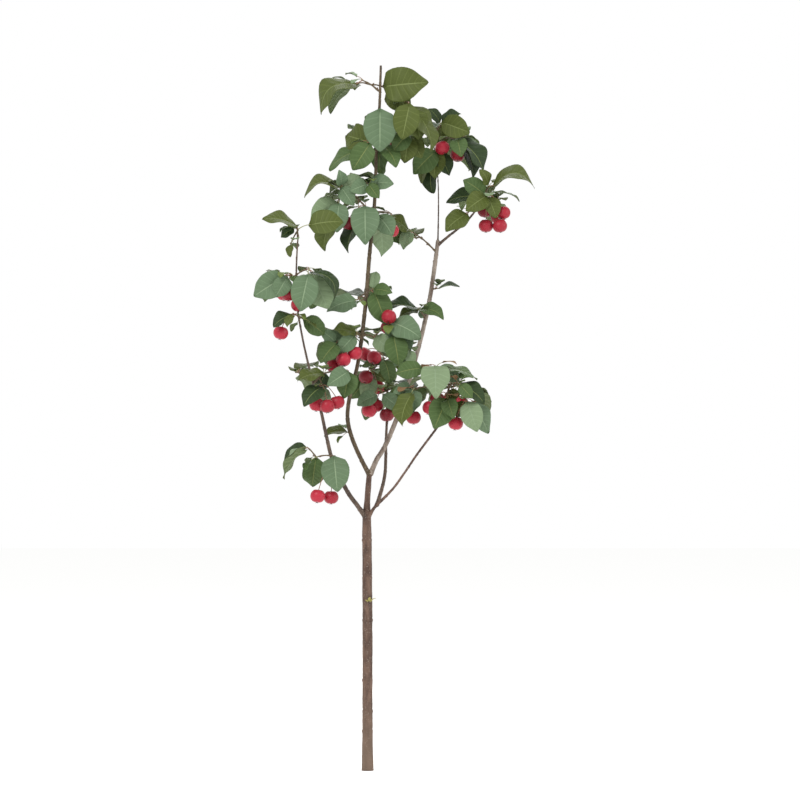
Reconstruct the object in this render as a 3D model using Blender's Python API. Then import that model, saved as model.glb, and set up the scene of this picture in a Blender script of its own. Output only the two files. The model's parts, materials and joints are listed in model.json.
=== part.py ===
"""A young grafted crabapple tree, 1.4 m tall, with a clean trunk and an open crown.

Metres, +Z up. The origin is the middle of the flat cut under the trunk, and the front is -Y.

The trunk and the boughs are tapering limbs. Each mass of foliage grows from one stem: twigs run on
from it to the hubs of its sprays, and leaves and fruit fan out round each hub. A leaf of the front
outline is given by its clock angle and reach. The leaves behind follow a seeded rule.
"""

import math
import random
from collections import namedtuple

import bmesh
import bpy
from mathutils import Matrix, Vector
from mathutils.bvhtree import BVHTree

NAME = "crabapple_tree"

# Where the front view is taken from. Places across and up are given as they look from there, at the
# plane of the trunk, and a deeper place is moved along the line of sight.
EYE_ACROSS = 0.065
EYE_HEIGHT = 0.741
EYE_DISTANCE = 8.0
TOWARDS_EYE = Vector((0, -1, 0))
UP = Vector((0, 0, 1))

# Sizes that all limbs, twigs and joints share
SEAT_GAP = 0.0003
LIMB_SPAN_STEPS = 2
LIMB_BEVEL_RESOLUTION = 2
FLARE_GROWTH = 0.0016
FLARE_HEIGHT = 0.035
TWIG_SIDES = 3
TWIG_RADIUS = 0.0021
TWIG_THINNING = 0.8
TWIG_STEPS = 2
TWIG_LIFT = 0.12
STALK_RADIUS = 0.0010
TWIG_END_SHARE = 1.25
NODE_STEP = 0.003
NODE_REACH = 0.9

# The leaf, along its stalk and blade
BLADE_LENGTH = 0.072
BLADE_WIDTH_SHARE = 0.88
LEAF_STALK_LENGTH = 0.017
WELD = 1e-6
SHORTEST_STALK = 0.004
BLADE_FROM = 0.45
LEAF_STALK_RADIUS = 0.0010
LEAF_STALK_KEEL = 1.5
LEAF_STALK_RISE = 0.4
LEAF_THICKNESS = 0.0014
LEAF_ARCH = 0.10
LEAF_STATIONS = ((0.14, 0.84), (0.57, 0.92))
MOST_SWING = math.radians(62)
SIZE_SPREAD = 0.03
OUTWARD_SHARE = 0.2

# The fruit
FRUIT_RADIUS = 0.0148
FRUIT_FLATNESS = 0.95
FRUIT_SIDES = 8
FRUIT_RINGS = 4
FRUIT_HOLLOW_SHARE = 0.7
FRUIT_UPRIGHTNESS = 2
STALK_BOW = 0.25

# The seeded leaves behind the front outline
SEED = 41
GOLDEN_ANGLE = math.radians(137.5)
BACK_TWIG_LENGTH = 0.062
BACK_TWIG_LEAVES = 3
BACK_SPREAD = math.radians(50)
BACK_LEAF_SPREAD = math.radians(62)
BACK_TRIES = 10
BACK_TWIG_RISE = (-0.2, 0.3)
BACK_TWIG_SPREAD = (0.7, 1.1)
BACK_HEADING_SPREAD = (-0.3, 0.3)
BACK_DROOP = (-0.25, 0.85)
BACK_SIZE = (0.8, 1.05)
BACK_FRUIT_DROP = 0.034
ROOM = 0.030
CLEARANCE = 0.0007
DEPTH_SHIFTS = (0, -0.010, 0.010, -0.020, 0.020, -0.032, 0.032, -0.045, 0.045)
TWIG_BULGES = (0, -0.012, 0.012, -0.024, 0.024)

Limb = namedtuple("Limb", "parent foot_radius tip_radius way")
Mass = namedtuple("Mass", "limb height behind sprays")
Spray = namedtuple("Spray", "across depth height blades fruit", defaults=((),))
Blade = namedtuple("Blade", "clock reach turn arch size", defaults=(0, LEAF_ARCH, 1.0))
Twig = namedtuple("Twig", "line radii spray")
Leaf = namedtuple("Leaf", "node base tip normal arch width")
Fruit = namedtuple("Fruit", "node centre axis")
Solid = namedtuple("Solid", "owner low high tree")

# Each limb's way as (across, depth, height), from inside its parent to its tip
LIMBS = {
    "trunk": Limb(None, 0.0106, 0.0060, (
        (0.0, 0.0, 0.0), (0.0, 0.0, 0.14), (0.0, 0.0, 0.28), (-0.001, 0.0, 0.47),
        (-0.001, 0.0, 0.53), (0.004, 0.0, 0.597))),
    "left_bough": Limb("trunk", 0.0054, 0.0017, (
        (-0.001, 0.0, 0.503), (-0.021, -0.012, 0.531), (-0.042, -0.030, 0.561), (-0.072, -0.058, 0.627),
        (-0.093, -0.082, 0.719), (-0.118, -0.100, 0.811), (-0.142, -0.112, 0.941), (-0.139, -0.120, 1.066))),
    "leader": Limb("trunk", 0.0052, 0.0010, (
        (0.004, 0.0, 0.591), (-0.013, -0.008, 0.623), (-0.031, -0.018, 0.665), (-0.040, -0.026, 0.707),
        (-0.034, -0.032, 0.755), (-0.019, -0.034, 0.816), (-0.005, -0.030, 0.921), (0.004, -0.022, 1.031),
        (0.014, -0.012, 1.134), (0.018, -0.004, 1.241), (0.024, 0.0, 1.328), (0.0266, 0.0, 1.410))),
    "right_bough": Limb("trunk", 0.0052, 0.0036, (
        (0.005, 0.0, 0.591), (0.019, 0.014, 0.623), (0.033, 0.026, 0.645), (0.058, 0.050, 0.703),
        (0.087, 0.080, 0.791), (0.114, 0.105, 0.894), (0.129, 0.118, 0.971), (0.141, 0.125, 1.061))),
    "right_shoot": Limb("right_bough", 0.0019, 0.0012, (
        (0.1405, 0.125, 1.054), (0.142, 0.125, 1.131), (0.139, 0.120, 1.211), (0.127, 0.110, 1.279))),
    "right_side_bough": Limb("right_bough", 0.0028, 0.0017, (
        (0.140, 0.125, 1.050), (0.165, 0.112, 1.071), (0.189, 0.098, 1.090), (0.211, 0.084, 1.113),
        (0.229, 0.072, 1.140))),
    "right_low_bough": Limb("trunk", 0.0050, 0.0026, (
        (0.001, 0.0, 0.503), (0.014, -0.012, 0.526), (0.053, -0.045, 0.566), (0.099, -0.090, 0.632),
        (0.139, -0.120, 0.686), (0.153, -0.128, 0.712))),
    "inner_bough": Limb("right_low_bough", 0.0040, 0.0016, (
        (0.0185, -0.015, 0.530), (0.025, 0.010, 0.551), (0.035, 0.045, 0.594), (0.037, 0.085, 0.661),
        (0.040, 0.115, 0.741), (0.037, 0.135, 0.806))),
}

# Each mass: the limb and height that its stem leaves from, how many seeded twigs it has behind, and
# its sprays. A spray's hub is (across, depth from the limb, height). A blade has the clock angle and
# reach of its tip from the hub, in degrees from straight up to the right, how far it turns from the
# eye, its arch and its size. A fruit is (clock, reach).
MASSES = {
    "low_left": Mass("left_bough", 0.612, 0, (
        Spray(-0.067, -0.020, 0.629, (Blade(174, 0.071, size=0.98),), ((-176, 0.082), (-158, 0.085))),
        Spray(-0.103, -0.026, 0.627, (Blade(-172, 0.061, size=0.9),)),
        Spray(-0.121, -0.026, 0.647, (
            Blade(-121, 0.054, turn=62, size=0.75), Blade(-143, 0.077, turn=110, size=0.95))),
    )),
    "stem_leaf": Mass("leader", 0.676, 0, (
        Spray(-0.037, 0.012, 0.677, (Blade(-97, 0.050, turn=66, size=0.66),)),
    )),
    "left_low": Mass("left_bough", 0.773, 1, (
        Spray(-0.085, -0.010, 0.795, (Blade(-106, 0.056, turn=58, size=0.78), Blade(-156, 0.035, size=0.6))),
        Spray(-0.037, -0.004, 0.799, (Blade(-124, 0.050, size=0.72), Blade(-170, 0.055, size=0.75))),
        Spray(-0.091, -0.014, 0.769, (
            Blade(-137, 0.052, turn=30, size=0.78), Blade(180, 0.040, size=0.6)),
             ((137, 0.044), (165, 0.041), (-164, 0.038))),
    )),
    "left_fruit": Mass("left_bough", 0.905, 0, (
        Spray(-0.149, -0.016, 0.913, (
            Blade(-124, 0.046, turn=40, size=0.66), Blade(-159, 0.028, turn=30, size=0.4)),
             ((-147, 0.044),)),
        Spray(-0.129, 0.012, 0.903, (Blade(126, 0.052, turn=20, size=0.7),)),
    )),
    "left_mid": Mass("left_bough", 0.972, 1, (
        Spray(-0.155, -0.014, 0.995, (
            Blade(-123, 0.085), Blade(-150, 0.056, size=0.62)), ((-176, 0.042), (165, 0.065))),
        Spray(-0.115, -0.016, 1.005, (
            Blade(-168, 0.088), Blade(156, 0.088), Blade(143, 0.082, turn=64, arch=0.3, size=0.95),
            Blade(177, 0.080, turn=50, size=0.9))),
    )),
    "left_tip": Mass("left_bough", 1.065, 0, (
        Spray(-0.141, -0.004, 1.089, (
            Blade(-79, 0.069, turn=68, size=0.9), Blade(-125, 0.039, turn=20, size=0.42),
            Blade(85, 0.092, turn=20, size=0.9))),
        Spray(-0.153, 0.006, 1.055, (Blade(-176, 0.028, turn=35, size=0.33),)),
    )),
    "mid_left": Mass("leader", 0.862, 1, (
        Spray(-0.021, -0.016, 0.875, (
            Blade(-83, 0.048, turn=50, size=0.65), Blade(-117, 0.079, turn=20, size=0.95),
            Blade(-137, 0.052, size=0.6)), ((-174, 0.040),)),
        Spray(-0.061, -0.020, 0.855, (
            Blade(-141, 0.051, turn=20, size=0.7), Blade(-53, 0.040, turn=20, size=0.5),
            Blade(-165, 0.056, size=0.7)), ((-172, 0.046), (159, 0.036))),
    )),
    "leader_mid": Mass("leader", 0.955, 1, (
        Spray(0.011, 0.010, 0.963, (
            Blade(9, 0.036, turn=20, size=0.5), Blade(102, 0.039, turn=20, size=0.55),
            Blade(160, 0.075, turn=10, size=0.92), Blade(168, 0.049, size=0.6))),
        Spray(-0.021, -0.012, 0.941, (Blade(-110, 0.064, turn=35, size=0.85),)),
    )),
    "mid_right": Mass("leader", 0.871, 1, (
        Spray(0.013, 0.012, 0.867, (Blade(126, 0.047, size=0.62),)),
        Spray(0.047, 0.004, 0.897, (
            Blade(118, 0.068, turn=25, size=0.9), Blade(151, 0.075, size=0.95),
            Blade(170, 0.089, turn=10, size=0.8)), ((-22, 0.011), (-149, 0.012))),
        Spray(0.083, 0.004, 0.843, (Blade(-137, 0.044, turn=20, size=0.6), Blade(169, 0.033, size=0.4))),
    )),
    "right_mid": Mass("right_bough", 0.905, 0, (
        Spray(0.103, -0.016, 0.923, (
            Blade(-87, 0.070, turn=66, size=0.95), Blade(-113, 0.046, turn=50, size=0.6),
            Blade(112, 0.054, turn=45, arch=0.2, size=0.7), Blade(151, 0.021, size=0.28))),
    )),
    "right_leaf": Mass("right_bough", 0.964, 0, (
        Spray(0.139, -0.008, 0.964, (Blade(86, 0.046, turn=74, size=0.62),)),
    )),
    "mid_centre": Mass("inner_bough", 0.805, 3, (
        Spray(0.033, -0.012, 0.823, (
            Blade(167, 0.053, turn=30, size=0.7), Blade(-110, 0.047, turn=50, size=0.6)),
             ((-82, 0.020), (-75, 0.041))),
        Spray(0.007, -0.034, 0.795, (
            Blade(120, 0.032, turn=20, size=0.5), Blade(-142, 0.066, size=0.8),
            Blade(-170, 0.059, size=0.7)), ((-129, 0.013), (156, 0.032))),
        Spray(0.027, -0.040, 0.755, (
            Blade(-148, 0.064, turn=30, size=0.7), Blade(-117, 0.054, turn=20, size=0.6),
            Blade(129, 0.051, size=0.6)), ((-158, 0.027), (165, 0.046), (-146, 0.043), (140, 0.047))),
        Spray(0.075, -0.034, 0.767, (Blade(-150, 0.056, size=0.75),)),
    )),
    "low_right": Mass("right_low_bough", 0.709, 3, (
        Spray(0.135, -0.014, 0.811, (
            Blade(179, 0.064, size=1.05), Blade(-102, 0.080, turn=15, size=0.72),
            Blade(109, 0.088, turn=70, size=0.95), Blade(124, 0.058, turn=20, size=0.65))),
        Spray(0.183, -0.002, 0.773, (Blade(126, 0.062, turn=40, size=0.85), Blade(137, 0.038, size=0.5))),
        Spray(0.199, -0.002, 0.739, (
            Blade(146, 0.077, turn=35, size=0.98), Blade(162, 0.063, size=0.85),
            Blade(-148, 0.038, turn=40, size=0.5)), ((-153, 0.049),)),
        Spray(0.159, 0.004, 0.745, (
            Blade(-157, 0.065, size=0.9), Blade(74, 0.029, turn=30, size=0.5), Blade(163, 0.042, size=0.6)),
             ((-120, 0.039), (-96, 0.019))),
        Spray(0.091, 0.010, 0.763, (
            Blade(180, 0.046, size=0.66), Blade(-162, 0.076, turn=45, size=0.9),
            Blade(125, 0.032, size=0.5), Blade(-99, 0.038, turn=20, size=0.6)), ((179, 0.056),)),
    )),
    "leader_collar": Mass("leader", 1.105, 3, (
        Spray(-0.005, -0.022, 1.129, (
            Blade(179, 0.077, size=1.12), Blade(-159, 0.099, turn=60)), ((-135, 0.048),)),
        Spray(-0.053, -0.014, 1.167, (
            Blade(-106, 0.076, turn=66, arch=0.3, size=0.98), Blade(-4, 0.032, turn=30, size=0.45),
            Blade(67, 0.046, turn=20, size=0.55), Blade(146, 0.046, size=0.6))),
        Spray(-0.057, -0.012, 1.135, (
            Blade(-126, 0.069, size=0.95), Blade(-162, 0.100, turn=50, size=1.05),
            Blade(-176, 0.060, size=0.8))),
        Spray(0.019, 0.012, 1.111, (
            Blade(173, 0.083, turn=35), Blade(143, 0.053, turn=20, size=0.75)), ((150, 0.016),)),
    )),
    "leader_low_ring": Mass("leader", 1.161, 1, (
        Spray(0.001, -0.014, 1.173, (
            Blade(90, 0.051, turn=25, size=0.7), Blade(144, 0.037, size=0.5), Blade(-114, 0.039, size=0.6))),
    )),
    "leader_upper": Mass("leader", 1.261, 2, (
        Spray(0.025, -0.026, 1.323, (Blade(180, 0.086, size=1.16),)),
        Spray(0.007, -0.014, 1.255, (
            Blade(-70, 0.053, size=0.95), Blade(-122, 0.100, turn=55), Blade(-147, 0.067, size=0.85))),
        Spray(0.029, -0.004, 1.253, (
            Blade(147, 0.055, turn=40, size=0.75), Blade(-178, 0.062, turn=40, size=0.9),
            Blade(161, 0.036, size=0.5))),
    )),
    "leader_tip": Mass("leader", 1.357, 1, (
        Spray(-0.011, -0.010, 1.381, (Blade(-129, 0.107, turn=62, arch=0.32, size=1.3),)),
        Spray(0.031, 0.010, 1.367, (Blade(86, 0.089, size=1.25), Blade(129, 0.072, size=0.8))),
        Spray(0.085, -0.010, 1.333, (
            Blade(154, 0.104, turn=64, size=1.35), Blade(-168, 0.076, size=0.95),
            Blade(164, 0.073, turn=20, size=0.85))),
    )),
    "leader_side": Mass("leader", 1.305, 1, (
        Spray(0.083, 0.004, 1.275, (
            Blade(-140, 0.050, turn=10, size=0.65), Blade(-172, 0.061, size=0.75),
            Blade(153, 0.056, size=0.65), Blade(-73, 0.027, turn=30, size=0.4))),
    )),
    "right_top": Mass("right_shoot", 1.269, 3, (
        Spray(0.147, -0.012, 1.295, (
            Blade(-42, 0.038, turn=35, size=0.5), Blade(66, 0.044, turn=45, size=0.55),
            Blade(111, 0.062, size=0.8), Blade(180, 0.046, turn=10, size=0.6))),
        Spray(0.137, -0.022, 1.239, (
            Blade(-176, 0.056, size=0.75), Blade(-174, 0.085, turn=45),
            Blade(-136, 0.066, turn=10, size=0.85), Blade(-155, 0.071, turn=50, size=0.85),
            Blade(151, 0.057, turn=25, size=0.7)), ((65, 0.014),)),
        Spray(0.179, -0.020, 1.265, (
            Blade(141, 0.089, turn=60, size=1.15), Blade(157, 0.089, turn=66, size=1.15),
            Blade(169, 0.041, size=0.6))),
    )),
    "right_inner": Mass("right_bough", 1.041, 1, (
        Spray(0.085, -0.020, 1.079, (
            Blade(-114, 0.048, turn=10, size=0.65), Blade(-63, 0.061, turn=55, size=0.8),
            Blade(-160, 0.040, turn=20, size=0.55))),
    )),
    "right_side": Mass("right_side_bough", 1.135, 2, (
        Spray(0.243, -0.004, 1.169, (
            Blade(91, 0.092, turn=62, arch=0.36, size=1.15), Blade(-29, 0.037, turn=40, size=0.5))),
        Spray(0.239, -0.006, 1.149, (
            Blade(-56, 0.058, turn=10, size=0.7), Blade(-97, 0.083, turn=58),
            Blade(-126, 0.054, turn=10, size=0.75), Blade(159, 0.049, turn=20, size=0.6)),
             ((-178, 0.060), (136, 0.047), (157, 0.066))),
        Spray(0.201, -0.014, 1.115, (Blade(-128, 0.058, turn=25, size=0.78),)),
    )),
}

SHARP_ANGLE = math.radians(40)

# Colour, then roughness
BARK = ((0.20, 0.13, 0.09, 1), 0.85)
FOLIAGE = ((0.10, 0.20, 0.07, 1), 0.55)


def clear_scene():
    """Starts from an empty scene."""
    for old in list(bpy.data.objects):
        bpy.data.objects.remove(old, do_unlink=True)


def new_collection(name):
    """A collection in the scene."""
    made = bpy.data.collections.new(name)
    bpy.context.scene.collection.children.link(made)
    return made


def plain_material(name, look):
    """A Principled material of one colour and roughness."""
    made = bpy.data.materials.new(name)
    made.use_nodes = True
    shader = made.node_tree.nodes["Principled BSDF"]
    colour, roughness = look
    shader.inputs["Base Color"].default_value = colour
    shader.inputs["Roughness"].default_value = roughness
    shader.inputs["Metallic"].default_value = 0.0
    return made


def seen(across, depth, height):
    """The place at this depth that looks to be at (across, height) on the trunk's plane."""
    scale = (EYE_DISTANCE + depth) / EYE_DISTANCE
    return Vector((EYE_ACROSS + (across - EYE_ACROSS) * scale, depth, EYE_HEIGHT + (height - EYE_HEIGHT) * scale))


def smooth_way(points, steps):
    """Points on the smooth curve through the given ones, so many to a span."""
    padded = [points[0], *points, points[-1]]
    made = []
    for before, start, end, after in zip(padded, padded[1:], padded[2:], padded[3:]):
        for step in range(steps):
            t = step / steps
            made.append(0.5 * (2 * start + (end - before) * t
                               + (2 * before - 5 * start + 4 * end - after) * t * t
                               + (3 * start - before - 3 * end + after) * t * t * t))
    return made + [points[-1]]


def limb_line(name):
    """A limb's centre line and the radius at each of its points."""
    limb = LIMBS[name]
    line = smooth_way([seen(*place) for place in limb.way], LIMB_SPAN_STEPS)
    walked = [0.0]
    for a, b in zip(line, line[1:]):
        walked.append(walked[-1] + (b - a).length)
    radii = [limb.foot_radius + (limb.tip_radius - limb.foot_radius) * s / walked[-1] for s in walked]
    if limb.parent is None:
        radii = [r + FLARE_GROWTH * math.exp(-p.z / FLARE_HEIGHT) for r, p in zip(radii, line)]
    return line, radii


def ring_profile(sides):
    """A curve of so many sides and unit radius, for thin twigs to take their section from."""
    curve = bpy.data.curves.new("section", "CURVE")
    curve.dimensions = "2D"
    spline = curve.splines.new("POLY")
    spline.points.add(sides - 1)
    spline.use_cyclic_u = True
    for side, knot in enumerate(spline.points):
        angle = 2 * math.pi * side / sides
        knot.co = (math.cos(angle), math.sin(angle), 0, 1)
    return mesh_object("section", curve, CUTTERS)


def tube(name, line, radii, section=None):
    """A closed tube along a line, as a mesh. It is round unless a section is given."""
    curve = bpy.data.curves.new(name, "CURVE")
    curve.dimensions = "3D"
    if section:
        curve.bevel_mode = "OBJECT"
        curve.bevel_object = section
    else:
        curve.bevel_depth = 1.0
        curve.bevel_resolution = LIMB_BEVEL_RESOLUTION
    curve.use_fill_caps = True
    spline = curve.splines.new("POLY")
    spline.points.add(len(line) - 1)
    for knot, place, radius in zip(spline.points, line, radii):
        knot.co = (*place, 1)
        knot.radius = radius
    source = bpy.data.objects.new(name, curve)
    bpy.context.scene.collection.objects.link(source)
    bpy.context.view_layer.update()
    mesh = bpy.data.meshes.new_from_object(source.evaluated_get(bpy.context.evaluated_depsgraph_get()))
    mesh.transform(source.matrix_world)
    bpy.data.objects.remove(source)
    bpy.data.curves.remove(curve)
    solid = bmesh.new()
    solid.from_mesh(mesh)
    bmesh.ops.remove_doubles(solid, verts=solid.verts, dist=WELD)
    bmesh.ops.recalc_face_normals(solid, faces=solid.faces)
    solid.to_mesh(mesh)
    solid.free()
    mesh.name = name
    return mesh


def limb_mesh(name, growth=0.0):
    """A limb's own shape, or one that is larger all round by growth, for cutting what meets it."""
    line, radii = limb_line(name)
    if growth:
        line = [line[0] + (line[0] - line[1]).normalized() * growth, *line[1:-1],
                line[-1] + (line[-1] - line[-2]).normalized() * growth]
        radii = [r + growth for r in radii]
    return tube(name, line, radii)


def loft_to_tip(rings, tip):
    """The corners and faces of a closed loft through three-cornered rings and on to a tip."""
    corners = [corner for ring in rings for corner in ring] + [tip]
    faces = [(2, 1, 0)]
    for low in range(0, 3 * len(rings) - 3, 3):
        faces += [(low + side, low + (side + 1) % 3, low + 3 + (side + 1) % 3, low + 3 + side) for side in range(3)]
    last = 3 * len(rings) - 3
    faces += [(last + side, last + (side + 1) % 3, len(corners) - 1) for side in range(3)]
    return corners, faces


def blade_place(leaf, t):
    """A point on the midrib, t of the way from the blade's base to its tip."""
    chord = leaf.tip - leaf.base
    return leaf.base + chord * t + leaf.normal * (4 * leaf.arch * chord.length * t * (1 - t))


def keeled_ring(centre, aside, down):
    """A ring of three corners: the two rims and the keel below them."""
    return [centre - aside, centre + aside, centre + down]


def leaf_shape(leaf, growth=0.0, stalk_from=0.0):
    """A leaf's corners and faces: a thin stalk that widens into an arching blade with a keel under its midrib."""
    along = (leaf.tip - leaf.base).normalized()
    aside = along.cross(leaf.normal).normalized()
    radius = LEAF_STALK_RADIUS + growth
    stalk = (leaf.base - leaf.node).normalized()
    stalk_aside = (aside - stalk * aside.dot(stalk)).normalized()
    stalk_up = stalk_aside.cross(stalk)
    root = leaf.node.lerp(leaf.base, stalk_from)
    keel = LEAF_STALK_KEEL * radius
    rings = [keeled_ring(root + stalk_up * radius / 2, stalk_aside * radius, -stalk_up * keel),
             keeled_ring(leaf.base + leaf.normal * radius / 2, aside * radius, -leaf.normal * keel)]
    for t, share in LEAF_STATIONS:
        half = leaf.width * share / 2 + growth
        centre = blade_place(leaf, t) + leaf.normal * growth
        rings.append(keeled_ring(centre, aside * half, -leaf.normal * (LEAF_THICKNESS + 2 * growth)))
    return loft_to_tip(rings, leaf.tip + along * growth)


def solid_of(owner, corners, faces):
    """What the clearance test needs of a shape: its owner, its box and its search tree."""
    low = Vector([min(c[axis] for c in corners) for axis in range(3)])
    high = Vector([max(c[axis] for c in corners) for axis in range(3)])
    return Solid(owner, low, high, BVHTree.FromPolygons([tuple(c) for c in corners], faces))


def mesh_solid(owner, mesh):
    """The same for a mesh."""
    return solid_of(owner, [v.co for v in mesh.vertices], [tuple(p.vertices) for p in mesh.polygons])


def clear_of(one, others):
    """True if a shape touches none of the others."""
    for other in others:
        if any(one.low[axis] > other.high[axis] or other.low[axis] > one.high[axis] for axis in range(3)):
            continue
        if one.tree.overlap(other.tree):
            return False
    return True


def twig_line(start, end, bulge=0.0):
    """A twig's centre line, which rises a little on its way, and may bulge in depth."""
    control = start.lerp(end, 0.5) + UP * (TWIG_LIFT * (end - start).length) + Vector((0, 2 * bulge, 0))
    return [start.lerp(control, t).lerp(control.lerp(end, t), t)
            for t in (step / TWIG_STEPS for step in range(TWIG_STEPS + 1))]


def twig_solid(name, twig):
    """A twig as the clearance test sees it."""
    return mesh_solid(name, tube("twig", twig.line, [radius + CLEARANCE for radius in twig.radii], SECTION))


def twig_between(name, starts, end, index, spray, blocked):
    """A twig to the end from the first of the starts, nearest first, that leaves it a clear way, or None."""
    for start in sorted(starts, key=lambda place: (place - end).length):
        for bulge in TWIG_BULGES:
            twig = Twig(twig_line(start, end, bulge), twig_radii(index), spray)
            if clear_of(twig_solid(name, twig), blocked):
                return twig
    return None


def grow_twigs(name, draw, blocked):
    """A mass's twigs, the first of them its stem. The seeded ones behind have no spray."""
    mass = MASSES[name]
    foot = limb_on_line(mass.limb, mass.height)
    twigs = []
    for spray in mass.sprays:
        hub = seen(spray.across, foot.y + spray.depth, spray.height)
        if twigs:
            starts = [place for twig in twigs for place in twig.line[1:]]
            twig = twig_between(name, starts, hub, len(twigs), spray, blocked)
        else:
            twig = Twig(twig_line(foot, hub), twig_radii(0), spray)
        if twig:
            twigs.append(twig)
    starts = [twig.line[-2] for twig in twigs]
    for _ in range(mass.behind):
        for _ in range(BACK_TRIES):
            heading = draw.uniform(-BACK_SPREAD, BACK_SPREAD)
            outward = Vector((math.sin(heading), math.cos(heading), draw.uniform(*BACK_TWIG_RISE)))
            start = draw.choice(starts)
            end = start + outward * (BACK_TWIG_LENGTH * draw.uniform(*BACK_TWIG_SPREAD))
            twig = twig_between(name, [start], end, len(twigs), None, blocked)
            if twig:
                twigs.append(twig)
                break
    return twigs


def twig_radii(index):
    """The stem is the thickest, and each twig thins towards its hub."""
    foot = TWIG_RADIUS if index == 0 else TWIG_RADIUS * TWIG_THINNING
    return [foot + (STALK_RADIUS * TWIG_END_SHARE - foot) * step / TWIG_STEPS for step in range(TWIG_STEPS + 1)]


def limb_on_line(name, height):
    """The point of a limb's centre line at a height, between its own points."""
    line = limb_line(name)[0]
    for a, b in zip(line, line[1:]):
        if a.z <= height <= b.z:
            return a.lerp(b, (height - a.z) / (b.z - a.z))
    return line[-1]


def node_of(twig, index):
    """Where on its twig a leaf or fruit of this number starts: a little behind the hub."""
    end, before = twig.line[-1], twig.line[-2]
    return end.lerp(before, min(NODE_REACH, NODE_STEP * (index + 0.5) / (end - before).length))


def fruit_shape(centre, axis, growth=0.0):
    """A fruit's mesh: a slightly flattened ball round its stalk's axis."""
    ball = bmesh.new()
    bmesh.ops.create_uvsphere(ball, u_segments=FRUIT_SIDES, v_segments=FRUIT_RINGS, radius=FRUIT_RADIUS + growth)
    bmesh.ops.scale(ball, vec=(1, 1, FRUIT_FLATNESS), verts=ball.verts)
    turn = axis.to_track_quat("Z", "Y").to_matrix().to_4x4()
    bmesh.ops.transform(ball, matrix=Matrix.Translation(centre) @ turn, verts=ball.verts)
    mesh = bpy.data.meshes.new("fruit")
    ball.to_mesh(mesh)
    ball.free()
    return mesh


def stalk_line(fruit):
    """A fruit's stalk, from its node over to the hollow at the fruit's top."""
    top = fruit.centre + fruit.axis * (FRUIT_RADIUS * FRUIT_FLATNESS * FRUIT_HOLLOW_SHARE)
    control = fruit.node.lerp(top, 0.5) + fruit.axis * STALK_BOW * (top - fruit.node).length
    return [fruit.node, fruit.node.lerp(control, 0.5).lerp(control.lerp(top, 0.5), 0.5), top]


def stalk_mesh(fruit, growth=0.0):
    """A fruit's stalk as a thin tube."""
    line = stalk_line(fruit)
    return tube("stalk", line, [STALK_RADIUS + growth] * len(line), SECTION)


def grow_fruit(name, twig, places, blocked):
    """A twig's fruit, each moved in depth until it is clear of the rest, and its stalk of other masses."""
    made = []
    hub = twig.line[-1]
    others = [solid for solid in blocked if solid.owner != name]
    for clock, reach in places:
        angle = math.radians(clock)
        for shift in DEPTH_SHIFTS:
            centre = hub + Vector((math.sin(angle) * reach, shift, math.cos(angle) * reach))
            axis = (UP * FRUIT_UPRIGHTNESS + (hub - centre).normalized()).normalized()
            fruit = Fruit(node_of(twig, len(made)), centre, axis)
            ball = mesh_solid(name, fruit_shape(centre, axis, CLEARANCE))
            stalk = mesh_solid(name, stalk_mesh(fruit, CLEARANCE))
            if clear_of(ball, blocked) and clear_of(stalk, others):
                made.append(fruit)
                blocked += [ball, stalk]
                break
    return made


def front_leaf(hub, node, blade, size, shift, side):
    """A leaf of the front outline. Its swing towards or from the eye takes up what its reach leaves over."""
    angle = math.radians(blade.clock)
    length = BLADE_LENGTH * blade.size * size
    swing = min(MOST_SWING, math.acos(min(1.0, blade.reach / (length + SHORTEST_STALK))))
    flat = Vector((math.sin(angle), 0, math.cos(angle)))
    out = flat * math.cos(swing) + TOWARDS_EYE * (side * math.sin(swing))
    tip = hub + out * (blade.reach / math.cos(swing)) + Vector((0, shift, 0))
    base = tip - out * length
    face = (TOWARDS_EYE - out * TOWARDS_EYE.dot(out)).normalized()
    above = out.cross(face)
    if above.dot(UP + flat * OUTWARD_SHARE) < 0:
        above = -above
    turn = math.radians(blade.turn)
    normal = face * math.cos(turn) + above * math.sin(turn)
    return Leaf(node, base, tip, normal, blade.arch, length * BLADE_WIDTH_SHARE)


def back_leaf(hub, node, heading, droop, size):
    """A leaf that points away at a heading, 0 being straight back, and hangs by the droop."""
    flat = Vector((math.sin(heading), math.cos(heading), 0))
    out = flat * math.cos(droop) - UP * math.sin(droop)
    base = hub + (out + UP * LEAF_STALK_RISE).normalized() * LEAF_STALK_LENGTH
    tip = base + out * BLADE_LENGTH * size
    normal = out.cross(UP).cross(out).normalized()
    return Leaf(node, base, tip, normal, LEAF_ARCH, (tip - base).length * BLADE_WIDTH_SHARE)


def leaf_solid(name, leaf, stalk_from):
    """A leaf as the clearance test sees it, from so far along its stalk."""
    return solid_of(name, *leaf_shape(leaf, CLEARANCE, stalk_from))


def leaf_fits(name, leaf, blocked, beside_own):
    """True if a leaf is clear of the limbs and the other masses, and also beside the rest of its own if asked."""
    others = [solid for solid in blocked if solid.owner != name]
    own = [solid for solid in blocked if solid.owner == name]
    if not clear_of(leaf_solid(name, leaf, 0.0), others):
        return False
    return not beside_own or clear_of(leaf_solid(name, leaf, BLADE_FROM), own)


def place_front_leaves(name, twig, blocked, draw):
    """The spray's own leaves, each at the first depth where it is clear, or clear of all but its own mass."""
    made = []
    for blade in twig.spray.blades:
        size = draw.uniform(1 - SIZE_SPREAD, 1 + SIZE_SPREAD)
        node = node_of(twig, len(made))
        choices = [front_leaf(twig.line[-1], node, blade, size, shift, side)
                   for shift in DEPTH_SHIFTS for side in (1, -1)]
        for beside_own in (True, False):
            found = next((leaf for leaf in choices if leaf_fits(name, leaf, blocked, beside_own)), None)
            if found:
                made.append(found)
                blocked.append(leaf_solid(name, found, BLADE_FROM))
                break
    return made


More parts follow.
